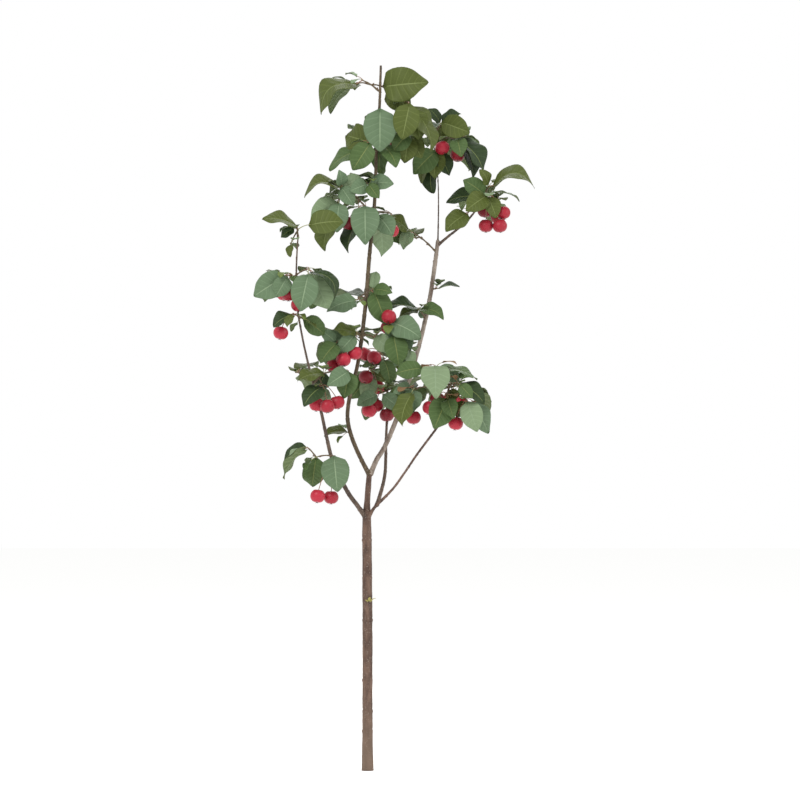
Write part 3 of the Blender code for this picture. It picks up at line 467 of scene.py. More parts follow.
# Colours as they look on screen, then roughness and specular level
# The blue greens, blade and vein, are leaf green with painted sky sheen, lighter and bluer, for leaves that
# face the front. The deep greens, blade and vein, are painted shade, for leaves in the crown's shade.
LEAF_COLOURS = {
    "leaf_blue_sheen": ((88, 108, 80), 0.58, 0.2),
    "leaf_mid": ((68, 88, 48), 0.58, 0.2),
    "leaf_pale": ((112, 130, 98), 0.62, 0.2),
    "leaf_olive": ((72, 82, 34), 0.58, 0.2),
    "leaf_shade": ((40, 56, 28), 0.58, 0.2),
    "leaf_fresh": ((90, 106, 50), 0.6, 0.2),
    "vein_blue_sheen": ((96, 116, 88), 0.58, 0.2),
    "vein_mid": ((77, 97, 56), 0.58, 0.2),
    "vein_pale": ((120, 138, 106), 0.62, 0.2),
    "vein_olive": ((82, 92, 43), 0.58, 0.2),
    "vein_shade": ((49, 66, 36), 0.58, 0.2),
    "vein_fresh": ((100, 116, 60), 0.6, 0.2),
    "midrib_cool": ((120, 138, 108), 0.6, 0.25),
    "midrib_warm": ((104, 114, 66), 0.6, 0.2),
    "under": ((94, 108, 72), 0.65, 0.15),
    "under_vein": ((112, 124, 88), 0.65, 0.15),
    "sprout": ((158, 152, 88), 0.6, 0.2),
    "withered": ((118, 92, 64), 0.7, 0.15),
    "withered_rib": ((138, 116, 84), 0.7, 0.15),
}
LEAF_TINTS = {
    "blue": {"blade": 0, "vein": 6, "midrib": 12},
    "mid": {"blade": 1, "vein": 7, "midrib": 13},
    "pale": {"blade": 2, "vein": 8, "midrib": 12},
    "olive": {"blade": 3, "vein": 9, "midrib": 13},
    "deep": {"blade": 4, "vein": 10, "midrib": 13},
    "fresh": {"blade": 5, "vein": 11, "midrib": 13},
    "sprout": {"blade": 16, "vein": 16, "midrib": 16},
    "withered": {"blade": 17, "vein": 17, "midrib": 18},
}
UNDER_SLOTS = {"blade": 14, "vein": 15, "midrib": 15}
# Tints dealt by where a leaf is and how it faces: the blue and pale greens on leaves that face the front are
# painted sky sheen, and the darker greens on leaves seen edge-on and on the leaves behind are painted shade.
# Young leaves take theirs at random.
FACING_TINTS = ("blue", "blue", "mid", "pale", "mid")
EDGE_TINTS = ("olive", "deep", "mid", "olive")
BACK_TINTS = ("deep", "olive", "mid", "deep", "mid", "fresh")
YOUNG_TINTS = ("fresh", "mid", "olive", "pale")
MASS_YOUNG = {"low_right": ("withered", "withered", "fresh")}
ROUGHNESS_SPREAD = 0.12
ONE_COLOUR_TINTS = ("sprout", "withered")
# How squarely a leaf must face the front to take the tints with painted sheen.
FACING_FROM = 0.75
# Each mass's own tints for leaves that face the front and for leaves seen edge-on; where these are the blue and
# pale greens they are painted sheen, and the deep green is painted shade.
MASS_TINTS = {
    "leader_tip": (("olive", "mid"), ("olive",)),
    "leader_upper": (("blue", "mid", "blue"), ("olive", "mid")),
    "right_top": (("olive", "mid", "deep"), ("olive", "deep")),
    "right_side": (("mid", "olive"), ("olive", "deep")),
    "left_tip": (("olive", "deep"), ("olive", "deep")),
    "left_mid": (("blue", "pale", "blue"), ("deep", "mid")),
    "leader_side": (("olive", "mid"), ("olive",)),
}
WOOD_COLOURS = {
    "twig": ((96, 82, 62), 0.7, 0.35),
    "petiole": ((132, 134, 84), 0.55, 0.4),
    "red_petiole": ((136, 96, 74), 0.55, 0.4),
    "bud": ((92, 62, 50), 0.6, 0.4),
}
TWIG_SLOT, PETIOLE_SLOT, RED_PETIOLE_SLOT, BUD_SLOT = range(4)
FRUIT_COLOURS = {
    "fruit_bright": ((164, 34, 52), 0.42, 0.3),
    "fruit_mid": ((146, 26, 42), 0.44, 0.3),
    "fruit_dark": ((112, 18, 30), 0.46, 0.3),
    "fruit_top": ((124, 36, 36), 0.5, 0.3),
    "calyx": ((84, 58, 44), 0.8, 0.3),
}
FRUIT_KINDS = (0, 0, 1, 1, 2)
FRUIT_TOP_SLOT = 3
CALYX_SLOT = 4
LEAF_BUMP = (420.0, 0.03, 0.0001)
WOOD_BUMP = (700.0, 0.5, 0.0003)
FRUIT_BUMP = (500.0, 0.12, 0.0001)
BARKS = {
    "bark_trunk": ((66, 48, 39), (104, 81, 68), (112, 95, 80)),
    "bark_left": ((62, 50, 42), (98, 82, 70), None),
    "bark_leader": ((62, 50, 36), (94, 80, 58), None),
    "bark_right": ((100, 86, 76), (154, 142, 130), None),
}
BARK_OF = {
    "trunk": "bark_trunk", "left_bough": "bark_left", "leader": "bark_leader",
    "right_bough": "bark_right", "right_shoot": "bark_left", "right_side_bough": "bark_left",
    "right_low_bough": "bark_trunk", "inner_bough": "bark_left",
}
BARK_SPECK = (0.30, 0.25, 0.21, 1)
BARK_ROUGHNESS = 0.72
BARK_SPECULAR = 0.35
BARK_BUMP_SCALE = 420.0
BARK_PATCH_SCALE = 95.0
BARK_SPECK_SCALE = 330.0
BARK_BUMP_STRENGTH = 0.5
BARK_BUMP_DISTANCE = 0.0006
BUMP_DETAIL = 4
PATCH_DETAIL = 6
PATCH_STRETCH = (1, 1, 0.35)
PATCH_RAMP = (0.36, 0.66)
SPECK_SQUASH = (1, 1, 2.2)
SPECK_RAMP = (0.63, 0.72)
FOOT_FADE = {"From_Min": 0.03, "From_Max": 0.16, "To_Min": 0.6, "To_Max": 0.0}
SRGB_STRAIGHT_TO = 10.3
SRGB_SLOPE = 12.92
SRGB_OFFSET = 0.055
SRGB_POWER = 2.4
COLOUR_TOP = 255
LOOKS_SEED = 7
YOUNG_SEED = 14

# The studio
FLOOR_HALF = 12.0
FLOOR_COLOUR = (252, 252, 251)
FLOOR_ROUGHNESS = 0.9
FLOOR_SPECULAR = 0.0
WORLD_STRENGTH = 1.0
LIGHT_AIM = Vector((0.06, 0.0, 0.9))
LIGHTS = {
    "key": ((-1.6, -3.2, 3.6), 110.0, 2.0),
    "side": ((3.2, -1.2, 1.8), 35.0, 2.0),
    "back": ((0.4, 3.0, 3.0), 60.0, 2.5),
}


def seen(across, depth, height):
    """The place at this depth that looks to be at (across, height) on the trunk's plane."""
    scale = (EYE_DISTANCE + depth) / EYE_DISTANCE
    aside = EYE_ACROSS + (across - EYE_ACROSS) * scale
    return Vector((aside, depth, EYE_HEIGHT + (height - EYE_HEIGHT) * scale))


def link_new(name, data):
    """A new object of this data, linked into the scene."""
    made = bpy.data.objects.new(name, data)
    bpy.context.scene.collection.objects.link(made)
    return made


def smooth_way(points, steps):
    """Points on the smooth curve through the given ones, so many to a span."""
    padded = [points[0], *points, points[-1]]
    made = []
    for before, start, end, after in zip(padded, padded[1:], padded[2:], padded[3:]):
        for step in range(steps):
            t = step / steps
            made.append(0.5 * (2 * start + (end - before) * t
                               + (2 * before - 5 * start + 4 * end - after) * t * t
                               + (3 * start - before - 3 * end + after) * t * t * t))
    return made + [points[-1]]


def limb_line(name):
    """A limb's centre line and the radius at each of its points."""
    limb = LIMBS[name]
    line = smooth_way([seen(*place) for place in limb.way], LIMB_SPAN_STEPS)
    walked = spread(line)
    radii = [limb.foot_radius + (limb.tip_radius - limb.foot_radius) * s / walked[-1] for s in walked]
    if limb.parent is None:
        radii = [r + FLARE_GROWTH * math.exp(-p.z / FLARE_HEIGHT) for r, p in zip(radii, line)]
    return line, radii


def ring_profile(sides):
    """A curve of so many sides and unit radius, for thin twigs to take their section from."""
    curve = bpy.data.curves.new("section", "CURVE")
    curve.dimensions = "2D"
    spline = curve.splines.new("POLY")
    spline.points.add(sides - 1)
    spline.use_cyclic_u = True
    for side, knot in enumerate(spline.points):
        angle = 2 * math.pi * side / sides
        knot.co = (math.cos(angle), math.sin(angle), 0, 1)
    return link_new("section", curve)


def tube(name, line, radii, section=None):
    """A closed tube along a line, as a mesh. It is round unless a section is given."""
    curve = bpy.data.curves.new(name, "CURVE")
    curve.dimensions = "3D"
    if section:
        curve.bevel_mode = "OBJECT"
        curve.bevel_object = section
    else:
        curve.bevel_depth = 1.0
        curve.bevel_resolution = LIMB_BEVEL_RESOLUTION
    curve.use_fill_caps = True
    spline = curve.splines.new("POLY")
    spline.points.add(len(line) - 1)
    for knot, place, radius in zip(spline.points, line, radii):
        knot.co = (*place, 1)
        knot.radius = radius
    source = link_new(name, curve)
    bpy.context.view_layer.update()
    mesh = bpy.data.meshes.new_from_object(source.evaluated_get(bpy.context.evaluated_depsgraph_get()))
    mesh.transform(source.matrix_world)
    bpy.data.objects.remove(source)
    bpy.data.curves.remove(curve)
    solid = bmesh.new()
    solid.from_mesh(mesh)
    bmesh.ops.remove_doubles(solid, verts=solid.verts, dist=WELD)
    bmesh.ops.recalc_face_normals(solid, faces=solid.faces)
    solid.to_mesh(mesh)
    solid.free()
    mesh.name = name
    return mesh


def limb_mesh(name, growth=0.0):
    """A limb's own shape, or one that is larger all round by growth, for cutting what meets it."""
    line, radii = limb_line(name)
    if growth:
        line = [line[0] + (line[0] - line[1]).normalized() * growth, *line[1:-1],
                line[-1] + (line[-1] - line[-2]).normalized() * growth]
        radii = [r + growth for r in radii]
    return tube(name, line, radii)


def loft_to_tip(rings, tip):
    """The corners and faces of a closed loft through three-cornered rings and on to a tip."""
    corners = [corner for ring in rings for corner in ring] + [tip]
    faces = [(2, 1, 0)]
    for low in range(0, 3 * len(rings) - 3, 3):
        faces += [(low + side, low + (side + 1) % 3, low + 3 + (side + 1) % 3, low + 3 + side)
                  for side in range(3)]
    last = 3 * len(rings) - 3
    faces += [(last + side, last + (side + 1) % 3, len(corners) - 1) for side in range(3)]
    return corners, faces


def blade_place(leaf, t):
    """A point on the midrib, t of the way from the blade's base to its tip."""
    chord = leaf.tip - leaf.base
    return leaf.base + chord * t + leaf.normal * (4 * leaf.arch * chord.length * t * (1 - t))


def keeled_ring(centre, aside, down):
    """A ring of three corners: the two rims and the keel below them."""
    return [centre - aside, centre + aside, centre + down]


def leaf_shape(leaf, growth=0.0, stalk_from=0.0):
    """A leaf's corners and faces: a thin stalk, and an arching blade with a keel under its midrib."""
    along = (leaf.tip - leaf.base).normalized()
    aside = along.cross(leaf.normal).normalized()
    radius = LEAF_STALK_RADIUS + growth
    stalk = (leaf.base - leaf.node).normalized()
    stalk_aside = (aside - stalk * aside.dot(stalk)).normalized()
    stalk_up = stalk_aside.cross(stalk)
    root = leaf.node.lerp(leaf.base, stalk_from)
    keel = LEAF_STALK_KEEL * radius
    rings = [keeled_ring(root + stalk_up * radius / 2, stalk_aside * radius, -stalk_up * keel),
             keeled_ring(leaf.base + leaf.normal * radius / 2, aside * radius, -leaf.normal * keel)]
    for t, share in LEAF_STATIONS:
        half = leaf.width * share / 2 + growth
        centre = blade_place(leaf, t) + leaf.normal * growth
        rings.append(keeled_ring(centre, aside * half, -leaf.normal * (LEAF_THICKNESS + 2 * growth)))
    return loft_to_tip(rings, leaf.tip + along * growth)


def solid_of(owner, corners, faces):
    """What the clearance test needs of a shape: its owner, its box and its search tree."""
    low = Vector([min(c[axis] for c in corners) for axis in range(3)])
    high = Vector([max(c[axis] for c in corners) for axis in range(3)])
    return Solid(owner, low, high, BVHTree.FromPolygons([tuple(c) for c in corners], faces))


def mesh_solid(owner, mesh):
    """The same for a mesh."""
    return solid_of(owner, [v.co for v in mesh.vertices], [tuple(p.vertices) for p in mesh.polygons])


def clear_of(one, others):
    """True if a shape touches none of the others."""
    for other in others:
        if any(one.low[axis] > other.high[axis] or other.low[axis] > one.high[axis] for axis in range(3)):
            continue
        if one.tree.overlap(other.tree):
            return False
    return True


def twig_line(start, end, bulge=0.0):
    """A twig's centre line, which rises a little on its way, and may bulge in depth."""
    control = start.lerp(end, 0.5) + UP * (TWIG_LIFT * (end - start).length) + Vector((0, 2 * bulge, 0))
    return [start.lerp(control, t).lerp(control.lerp(end, t), t)
            for t in (step / TWIG_STEPS for step in range(TWIG_STEPS + 1))]


def twig_solid(name, twig):
    """A twig as the clearance test sees it."""
    return mesh_solid(name, tube("twig", twig.line, [radius + CLEARANCE for radius in twig.radii], SECTION))


def twig_between(name, starts, end, index, spray, blocked):
    """A twig to the end from the nearest of the starts that leaves it a clear way, or None."""
    for start in sorted(starts, key=lambda place: (place - end).length):
        for bulge in TWIG_BULGES:
            twig = Twig(twig_line(start, end, bulge), twig_radii(index), spray)
            if clear_of(twig_solid(name, twig), blocked):
                return twig
    return None


def grow_twigs(name, draw, blocked):
    """A mass's twigs, the first of them its stem. The seeded ones behind have no spray."""
    mass = MASSES[name]
    foot = limb_on_line(mass.limb, mass.height)
    twigs = []
    for spray in mass.sprays:
        hub = seen(spray.across, foot.y + spray.depth, spray.height)
        if twigs:
            starts = [place for twig in twigs for place in twig.line[1:]]
            twig = twig_between(name, starts, hub, len(twigs), spray, blocked)
        else:
            twig = Twig(twig_line(foot, hub), twig_radii(0), spray)
        if twig:
            twigs.append(twig)
    starts = [twig.line[-2] for twig in twigs]
    for _ in range(mass.behind):
        for _ in range(BACK_TRIES):
            heading = draw.uniform(-BACK_SPREAD, BACK_SPREAD)
            outward = Vector((math.sin(heading), math.cos(heading), draw.uniform(*BACK_TWIG_RISE)))
            start = draw.choice(starts)
            end = start + outward * (BACK_TWIG_LENGTH * draw.uniform(*BACK_TWIG_SPREAD))
            twig = twig_between(name, [start], end, len(twigs), None, blocked)
            if twig:
                twigs.append(twig)
                break
    return twigs


def twig_radii(index):
    """The stem is the thickest, and each twig thins towards its hub."""
    foot = TWIG_RADIUS if index == 0 else TWIG_RADIUS * TWIG_THINNING
    change = STALK_RADIUS * TWIG_END_SHARE - foot
    return [foot + change * step / TWIG_STEPS for step in range(TWIG_STEPS + 1)]


def limb_on_line(name, height):
    """The point of a limb's centre line at a height, between its own points."""
    line = limb_line(name)[0]
    for a, b in zip(line, line[1:]):
        if a.z <= height <= b.z:
            return a.lerp(b, (height - a.z) / (b.z - a.z))
    return line[-1]


def node_of(twig, index):
    """Where on its twig a leaf or fruit of this number starts: a little behind the hub."""
    end, before = twig.line[-1], twig.line[-2]
    return end.lerp(before, min(NODE_REACH, NODE_STEP * (index + 0.5) / (end - before).length))


def fruit_shape(centre, axis, growth=0.0):
    """A fruit's mesh: a slightly flattened ball round its stalk's axis."""
    ball = bmesh.new()
    bmesh.ops.create_uvsphere(ball, u_segments=FRUIT_SIDES, v_segments=FRUIT_RINGS,
                              radius=FRUIT_RADIUS + growth)
    bmesh.ops.scale(ball, vec=(1, 1, FRUIT_FLATNESS), verts=ball.verts)
    turn = axis.to_track_quat("Z", "Y").to_matrix().to_4x4()
    bmesh.ops.transform(ball, matrix=Matrix.Translation(centre) @ turn, verts=ball.verts)
    mesh = bpy.data.meshes.new("fruit")
    ball.to_mesh(mesh)
    ball.free()
    return mesh


def stalk_line(fruit):
    """A fruit's stalk, from its node over to the hollow at the fruit's top."""
    top = fruit.centre + fruit.axis * (FRUIT_RADIUS * FRUIT_FLATNESS * FRUIT_HOLLOW_SHARE)
    control = fruit.node.lerp(top, 0.5) + fruit.axis * STALK_BOW * (top - fruit.node).length
    return [fruit.node, fruit.node.lerp(control, 0.5).lerp(control.lerp(top, 0.5), 0.5), top]


def stalk_mesh(fruit, growth=0.0):
    """A fruit's stalk as a thin tube."""
    line = stalk_line(fruit)
    return tube("stalk", line, [STALK_RADIUS + growth] * len(line), SECTION)


def grow_fruit(name, twig, places, blocked):
    """A twig's fruit, each moved in depth until it is clear of the rest, and its stalk of other masses."""
    made = []
    hub = twig.line[-1]
    others = [solid for solid in blocked if solid.owner != name]
    for clock, reach in places:
        angle = math.radians(clock)
        for shift in DEPTH_SHIFTS:
            centre = hub + Vector((math.sin(angle) * reach, shift, math.cos(angle) * reach))
            axis = (UP * FRUIT_UPRIGHTNESS + (hub - centre).normalized()).normalized()
            fruit = Fruit(node_of(twig, len(made)), centre, axis)
            ball = mesh_solid(name, fruit_shape(centre, axis, CLEARANCE))
            stalk = mesh_solid(name, stalk_mesh(fruit, CLEARANCE))
            if clear_of(ball, blocked) and clear_of(stalk, others):
                made.append(fruit)
                blocked += [ball, stalk]
                break
    return made


def front_leaf(hub, node, blade, size, shift, side):
    """A leaf of the front outline. Its swing in depth takes up what its reach leaves over."""
    angle = math.radians(blade.clock)
    length = BLADE_LENGTH * blade.size * size
    swing = min(MOST_SWING, math.acos(min(1.0, blade.reach / (length + SHORTEST_STALK))))
    flat = Vector((math.sin(angle), 0, math.cos(angle)))
    out = flat * math.cos(swing) + TOWARDS_EYE * (side * math.sin(swing))
    tip = hub + out * (blade.reach / math.cos(swing)) + Vector((0, shift, 0))
    base = tip - out * length
    face = (TOWARDS_EYE - out * TOWARDS_EYE.dot(out)).normalized()
    above = out.cross(face)
    if above.dot(UP + flat * OUTWARD_SHARE) < 0:
        above = -above
    turn = math.radians(blade.turn)
    normal = face * math.cos(turn) + above * math.sin(turn)
    return Leaf(node, base, tip, normal, blade.arch, length * BLADE_WIDTH_SHARE)


def back_leaf(hub, node, heading, droop, size):
    """A leaf that points away at a heading, 0 being straight back, and hangs by the droop."""
    flat = Vector((math.sin(heading), math.cos(heading), 0))
    out = flat * math.cos(droop) - UP * math.sin(droop)
    base = hub + (out + UP * LEAF_STALK_RISE).normalized() * LEAF_STALK_LENGTH
    tip = base + out * BLADE_LENGTH * size
    normal = out.cross(UP).cross(out).normalized()
    return Leaf(node, base, tip, normal, LEAF_ARCH, (tip - base).length * BLADE_WIDTH_SHARE)


def leaf_solid(name, leaf, stalk_from):
    """A leaf as the clearance test sees it, from so far along its stalk."""
    return solid_of(name, *leaf_shape(leaf, CLEARANCE, stalk_from))


def leaf_fits(name, leaf, blocked, beside_own):
    """True if a leaf is clear of the limbs and other masses, and of the rest of its own if asked."""
    others = [solid for solid in blocked if solid.owner != name]
    own = [solid for solid in blocked if solid.owner == name]
    if not clear_of(leaf_solid(name, leaf, 0.0), others):
        return False
    return not beside_own or clear_of(leaf_solid(name, leaf, BLADE_FROM), own)


def place_front_leaves(name, twig, blocked, draw):
    """The spray's own leaves, each at the first depth where it is clear, or clear of other masses."""
    made = []
    for blade in twig.spray.blades:
        size = draw.uniform(1 - SIZE_SPREAD, 1 + SIZE_SPREAD)
        node = node_of(twig, len(made))
        choices = [front_leaf(twig.line[-1], node, blade, size, shift, side)
                   for shift in DEPTH_SHIFTS for side in (1, -1)]
        for beside_own in (True, False):
            found = next((leaf for leaf in choices if leaf_fits(name, leaf, blocked, beside_own)), None)
            if found:
                made.append(found)
                blocked.append(leaf_solid(name, found, BLADE_FROM))
                break
    return made


def inside_room(start, end, spots):
    """True if what reaches from start to end stays behind the front leaves, whose middles are the spots."""
    return all(any(math.hypot(place.x - spot.x, place.z - spot.z) < ROOM for spot in spots)
               for place in (start.lerp(end, 0.5), end))


def place_back_leaves(name, twig, spots, blocked, draw):
    """Seeded leaves round a twig's end. One that finds no clear place inside the mass's room is skipped."""
    made = []
    turned = draw.uniform(0, GOLDEN_ANGLE)
    for index in range(BACK_TWIG_LEAVES):
        for _ in range(BACK_TRIES):
            turned += GOLDEN_ANGLE
            heading = BACK_LEAF_SPREAD * math.sin(turned) + draw.uniform(*BACK_HEADING_SPREAD)
            droop = draw.uniform(*BACK_DROOP)
            leaf = back_leaf(twig.line[-1], node_of(twig, index), heading, droop, draw.uniform(*BACK_SIZE))
            if inside_room(leaf.base, leaf.tip, spots) and leaf_fits(name, leaf, blocked, True):
                made.append(leaf)
                blocked.append(leaf_solid(name, leaf, BLADE_FROM))
                break
    return made


def grow_crown():
    """The twigs, fruit and leaves of every mass, each kept clear of the limbs and of the other masses."""
    blocked = [mesh_solid(name, limb_mesh(name, CLEARANCE)) for name in LIMBS]
    draws = {name: random.Random(SEED + number) for number, name in enumerate(MASSES)}
    twigs, fruit, leaves = {}, {}, {}
    for name in MASSES:
        twigs[name] = grow_twigs(name, draws[name], blocked)
        blocked += [twig_solid(name, twig) for twig in twigs[name]]
    for name in MASSES:
        fruit[name] = []
        for twig in front_twigs(twigs[name]):
            fruit[name] += grow_fruit(name, twig, twig.spray.fruit, blocked)
    for name in MASSES:
        leaves[name] = []
        for twig in front_twigs(twigs[name]):
            leaves[name] += place_front_leaves(name, twig, blocked, draws[name])
    for name in MASSES:
        spots = [leaf.base.lerp(leaf.tip, 0.5) for leaf in leaves[name]]
        for twig in twigs[name]:
            if not twig.spray:
                end = twig.line[-1]
                if inside_room(end, end - UP * BACK_FRUIT_DROP, spots):
                    fruit[name] += grow_fruit(name, twig, ((180, BACK_FRUIT_DROP),), blocked)
                leaves[name] += place_back_leaves(name, twig, spots, blocked, draws[name])
    return (twigs, fruit, leaves), blocked


def front_twigs(twigs):
    """The twigs that end in a spray of the front outline."""
    return [twig for twig in twigs if twig.spray]


def spread(values):
    """The running length of a line of points."""
    walked = [0.0]
    for a, b in zip(values, values[1:]):
        walked.append(walked[-1] + (b - a).length)
    return walked


def resample(line, radii, step):
    """A smooth line through the given points with a point every step, and the radius at each."""
    walked = spread(line)
    dense = smooth_way(line, DENSE_STEPS)
    dense_walked = spread(dense)
    count = max(2, int(dense_walked[-1] / step))
    places = np.linspace(0, dense_walked[-1], count + 1)
    coords = np.array([tuple(place) for place in dense])
    made = np.stack([np.interp(places, dense_walked, coords[:, axis]) for axis in range(3)], axis=1)
    share = np.interp(places, [w * dense_walked[-1] / walked[-1] for w in walked], radii)
    return made, share


def frames_along(line):
    """Two unit vectors across the line at each of its points, carried on without twisting."""
    ways = np.gradient(line, axis=0)
    ways /= np.linalg.norm(ways, axis=1, keepdims=True)
    first = np.cross(ways[0], FRAME_GUIDE)
    first /= np.linalg.norm(first)
    across = [first]
    for way in ways[1:]:
        carried = across[-1] - way * (across[-1] @ way)
        across.append(carried / np.linalg.norm(carried))
    across = np.array(across)
    return across, np.cross(ways, across)


def tube_arrays(line, radii, sides):
    """The corners and faces of a closed tube. The radii are one to a ring, or one to a corner."""
    across, upward = frames_along(line)
    turn = np.linspace(0, 2 * np.pi, sides, endpoint=False)
    ring = np.cos(turn)[None, :, None] * across[:, None, :] + np.sin(turn)[None, :, None] * upward[:, None, :]
    reach = radii[:, None] if radii.ndim == 1 else radii
    corners = (line[:, None, :] + ring * reach[:, :, None]).reshape(-1, 3)
    rings = len(line)
    low = np.arange((rings - 1) * sides).reshape(rings - 1, sides)
    nxt = np.roll(low, -1, axis=1)
    faces = np.stack([low, nxt, nxt + sides, low + sides], axis=-1).reshape(-1, 4)
    foot, tip = len(corners), len(corners) + 1
    corners = np.vstack([corners, line[0], line[-1]])
    start = np.arange(sides)
    end = start + (rings - 1) * sides
    caps = [(int(b), int(a), foot) for a, b in zip(start, np.roll(start, -1))]
    caps += [(int(a), int(b), tip) for a, b in zip(end, np.roll(end, -1))]
    return corners, [tuple(map(int, face)) for face in faces] + caps


class Pieces:
    """Gathers many small shapes, then makes them one mesh."""

    def __init__(self):
        self.corners, self.faces, self.slots, self.count = [], [], [], 0

    def add(self, corners, faces, slots):
        """Adds a shape. The slots are one for all of its faces, or one for each."""
        self.corners.append(np.asarray(corners, dtype=float))
        self.faces += [tuple(index + self.count for index in face) for face in faces]
        self.slots += [slots] * len(faces) if isinstance(slots, int) else list(slots)
        self.count += len(corners)

    def make(self, name, materials):
        """The joined mesh as an object."""
        mesh = bpy.data.meshes.new(name)
        mesh.from_pydata(np.vstack(self.corners).tolist(), [], self.faces)
        for material in materials:
            mesh.materials.append(material)
        mesh.polygons.foreach_set("material_index", self.slots)
        mesh.shade_smooth()
        mesh.update()
        return link_new(name, mesh)


def blade_outline(t):
    """Half the blade's width at t of its length, as a share of the greatest."""
    t = np.clip(t, 0, 1)
    rounded = np.abs(np.sin(np.pi * t ** OUTLINE_FORWARD)) ** OUTLINE_ROUNDNESS
    late = np.clip((t - POINT_FROM) / (1 - POINT_FROM), 0, 1)
    return rounded * (1 - OUTLINE_POINT * late * late * (3 - 2 * late))


def leaf_grid(veins):
    """The rows and columns of a blade with that many side veins: rows follow them, columns the midrib."""
    rows = [0.0]
    for vein in range(1, veins + 1):
        rows += [(vein + phase) / (veins + 1) for phase in ROW_PHASES]
    rows = np.array(sorted(row for row in rows if row < 1) + [1.0])
    half = np.array(COLUMN_SHARES)
    columns = np.concatenate([-half[::-1], half])
    s, u = np.meshgrid(rows, columns, indexing="ij")
    t = s + VEIN_SLANT * np.abs(u) * s * (1 - s)
    return veins, rows, columns, s, u, t


def blade_faces(veins, rows, columns, offset, flip):
    """The faces of one side of a blade, and which of them are midrib, side vein or plain."""
    faces, kinds = [], []
    wide = len(columns)
    middle = wide // 2 - 1
    for i in range(len(rows) - 1):
        phase = ((rows[i] + rows[i + 1]) / 2 * (veins + 1)) % 1
        on_vein = min(phase, 1 - phase) < VEIN_HALF_WIDTH and VEIN_FROM < rows[i] < VEIN_TO
        for j in range(wide - 1):
            a = offset + i * wide + j
            face = (a, a + 1, a + wide + 1, a + wide)
            faces.append(face[::-1] if flip else face)
            inner = VEIN_INNER <= j < wide - 1 - VEIN_INNER
            kinds.append("midrib" if j == middle else "vein" if on_vein and inner else "blade")
    return faces, kinds


def leaf_arrays(leaf, grid, draw):
    """A leaf's blade: an upper and a lower side that meet at a toothed rim, with veins in relief."""
    veins, rows, columns, s, u, t = grid
    along = np.array((leaf.tip - leaf.base).normalized())
    normal = np.array(leaf.normal)
    aside = np.cross(along, normal)
    aside /= np.linalg.norm(aside)
    normal = np.cross(aside, along)
    length = (leaf.tip - leaf.base).length
    half = leaf.width / 2 * blade_outline(t) * draw.uniform(*LEAF_FULLNESS)
    t = t - NOTCH * u ** 2 * np.exp(-(s / NOTCH_REACH) ** 2)
    rim = np.abs(u) > RIM_FROM
    teeth = (np.arange(len(rows)) % 2)[:, None] * TOOTH_DEPTH
    half = half * np.where(rim, 1 - teeth, 1)
    wave_at = draw.uniform(0, 2 * math.pi)
    wave = draw.uniform(*WAVE_SIZES) * leaf.width
    fold = draw.uniform(*FOLD_SIZES)
    twist = draw.uniform(-TWIST, TWIST)
    curl = draw.uniform(*TIP_CURL) * length
    height = 4 * leaf.arch * length * t * (1 - t)
    height = height + fold * np.abs(u) * half + twist * u * half * t
    height = height + wave * np.sin(WAVE_TURNS * 2 * math.pi * t + wave_at * np.sign(u)) * u ** 2
    height = height - curl * np.clip(t - CURL_FROM, 0, 1) ** 2
    between = 0.5 - 0.5 * np.cos(2 * math.pi * s * (veins + 1))
    height = height + QUILT * leaf.width * between * (1 - np.abs(u)) * np.minimum(1, np.abs(u) / QUILT_FROM)
    groove = np.where(np.abs(u) < MIDRIB_SHARE * MIDRIB_MARGIN, MIDRIB_DEPTH, 0.0) * (1 - t)
    base = np.array(leaf.base)
    place = base + along * (length * t)[..., None] + aside * (u * half)[..., None]
    place = place + normal * height[..., None]
    thick = LEAF_SHEET * (1 - rim * RIM_THINNING)
    upper = place + normal * (thick / 2 - groove)[..., None]
    lower = place - normal * (thick / 2 + groove * MIDRIB_KEEL)[..., None]
    return upper.reshape(-1, 3), lower.reshape(-1, 3)


def add_leaf(pieces, leaf, grid, tint, draw):
    """Adds a leaf's blade to the pieces, in its tint's colours."""
    upper, lower = leaf_arrays(leaf, grid, draw)
    veins, rows, columns = grid[:3]
    top_faces, top_kinds = blade_faces(veins, rows, columns, 0, False)
    low_faces, low_kinds = blade_faces(veins, rows, columns, len(upper), True)
    wide, tall = len(columns), len(rows)
    edge = [i * wide for i in range(tall)] + [(tall - 1) * wide + j for j in range(1, wide)]
    edge += [i * wide + wide - 1 for i in range(tall - 2, -1, -1)] + list(range(wide - 2, 0, -1))
    rim = [(a, b, b + len(upper), a + len(upper)) for a, b in zip(edge, edge[1:] + edge[:1])]
    colours = LEAF_TINTS[tint]
    under = colours if tint in ONE_COLOUR_TINTS else UNDER_SLOTS
    slots = [colours[kind] for kind in top_kinds] + [under[kind] for kind in low_kinds]
    slots += [colours["blade"]] * len(rim)
    pieces.add(np.vstack([upper, lower]), top_faces + low_faces + rim, slots)


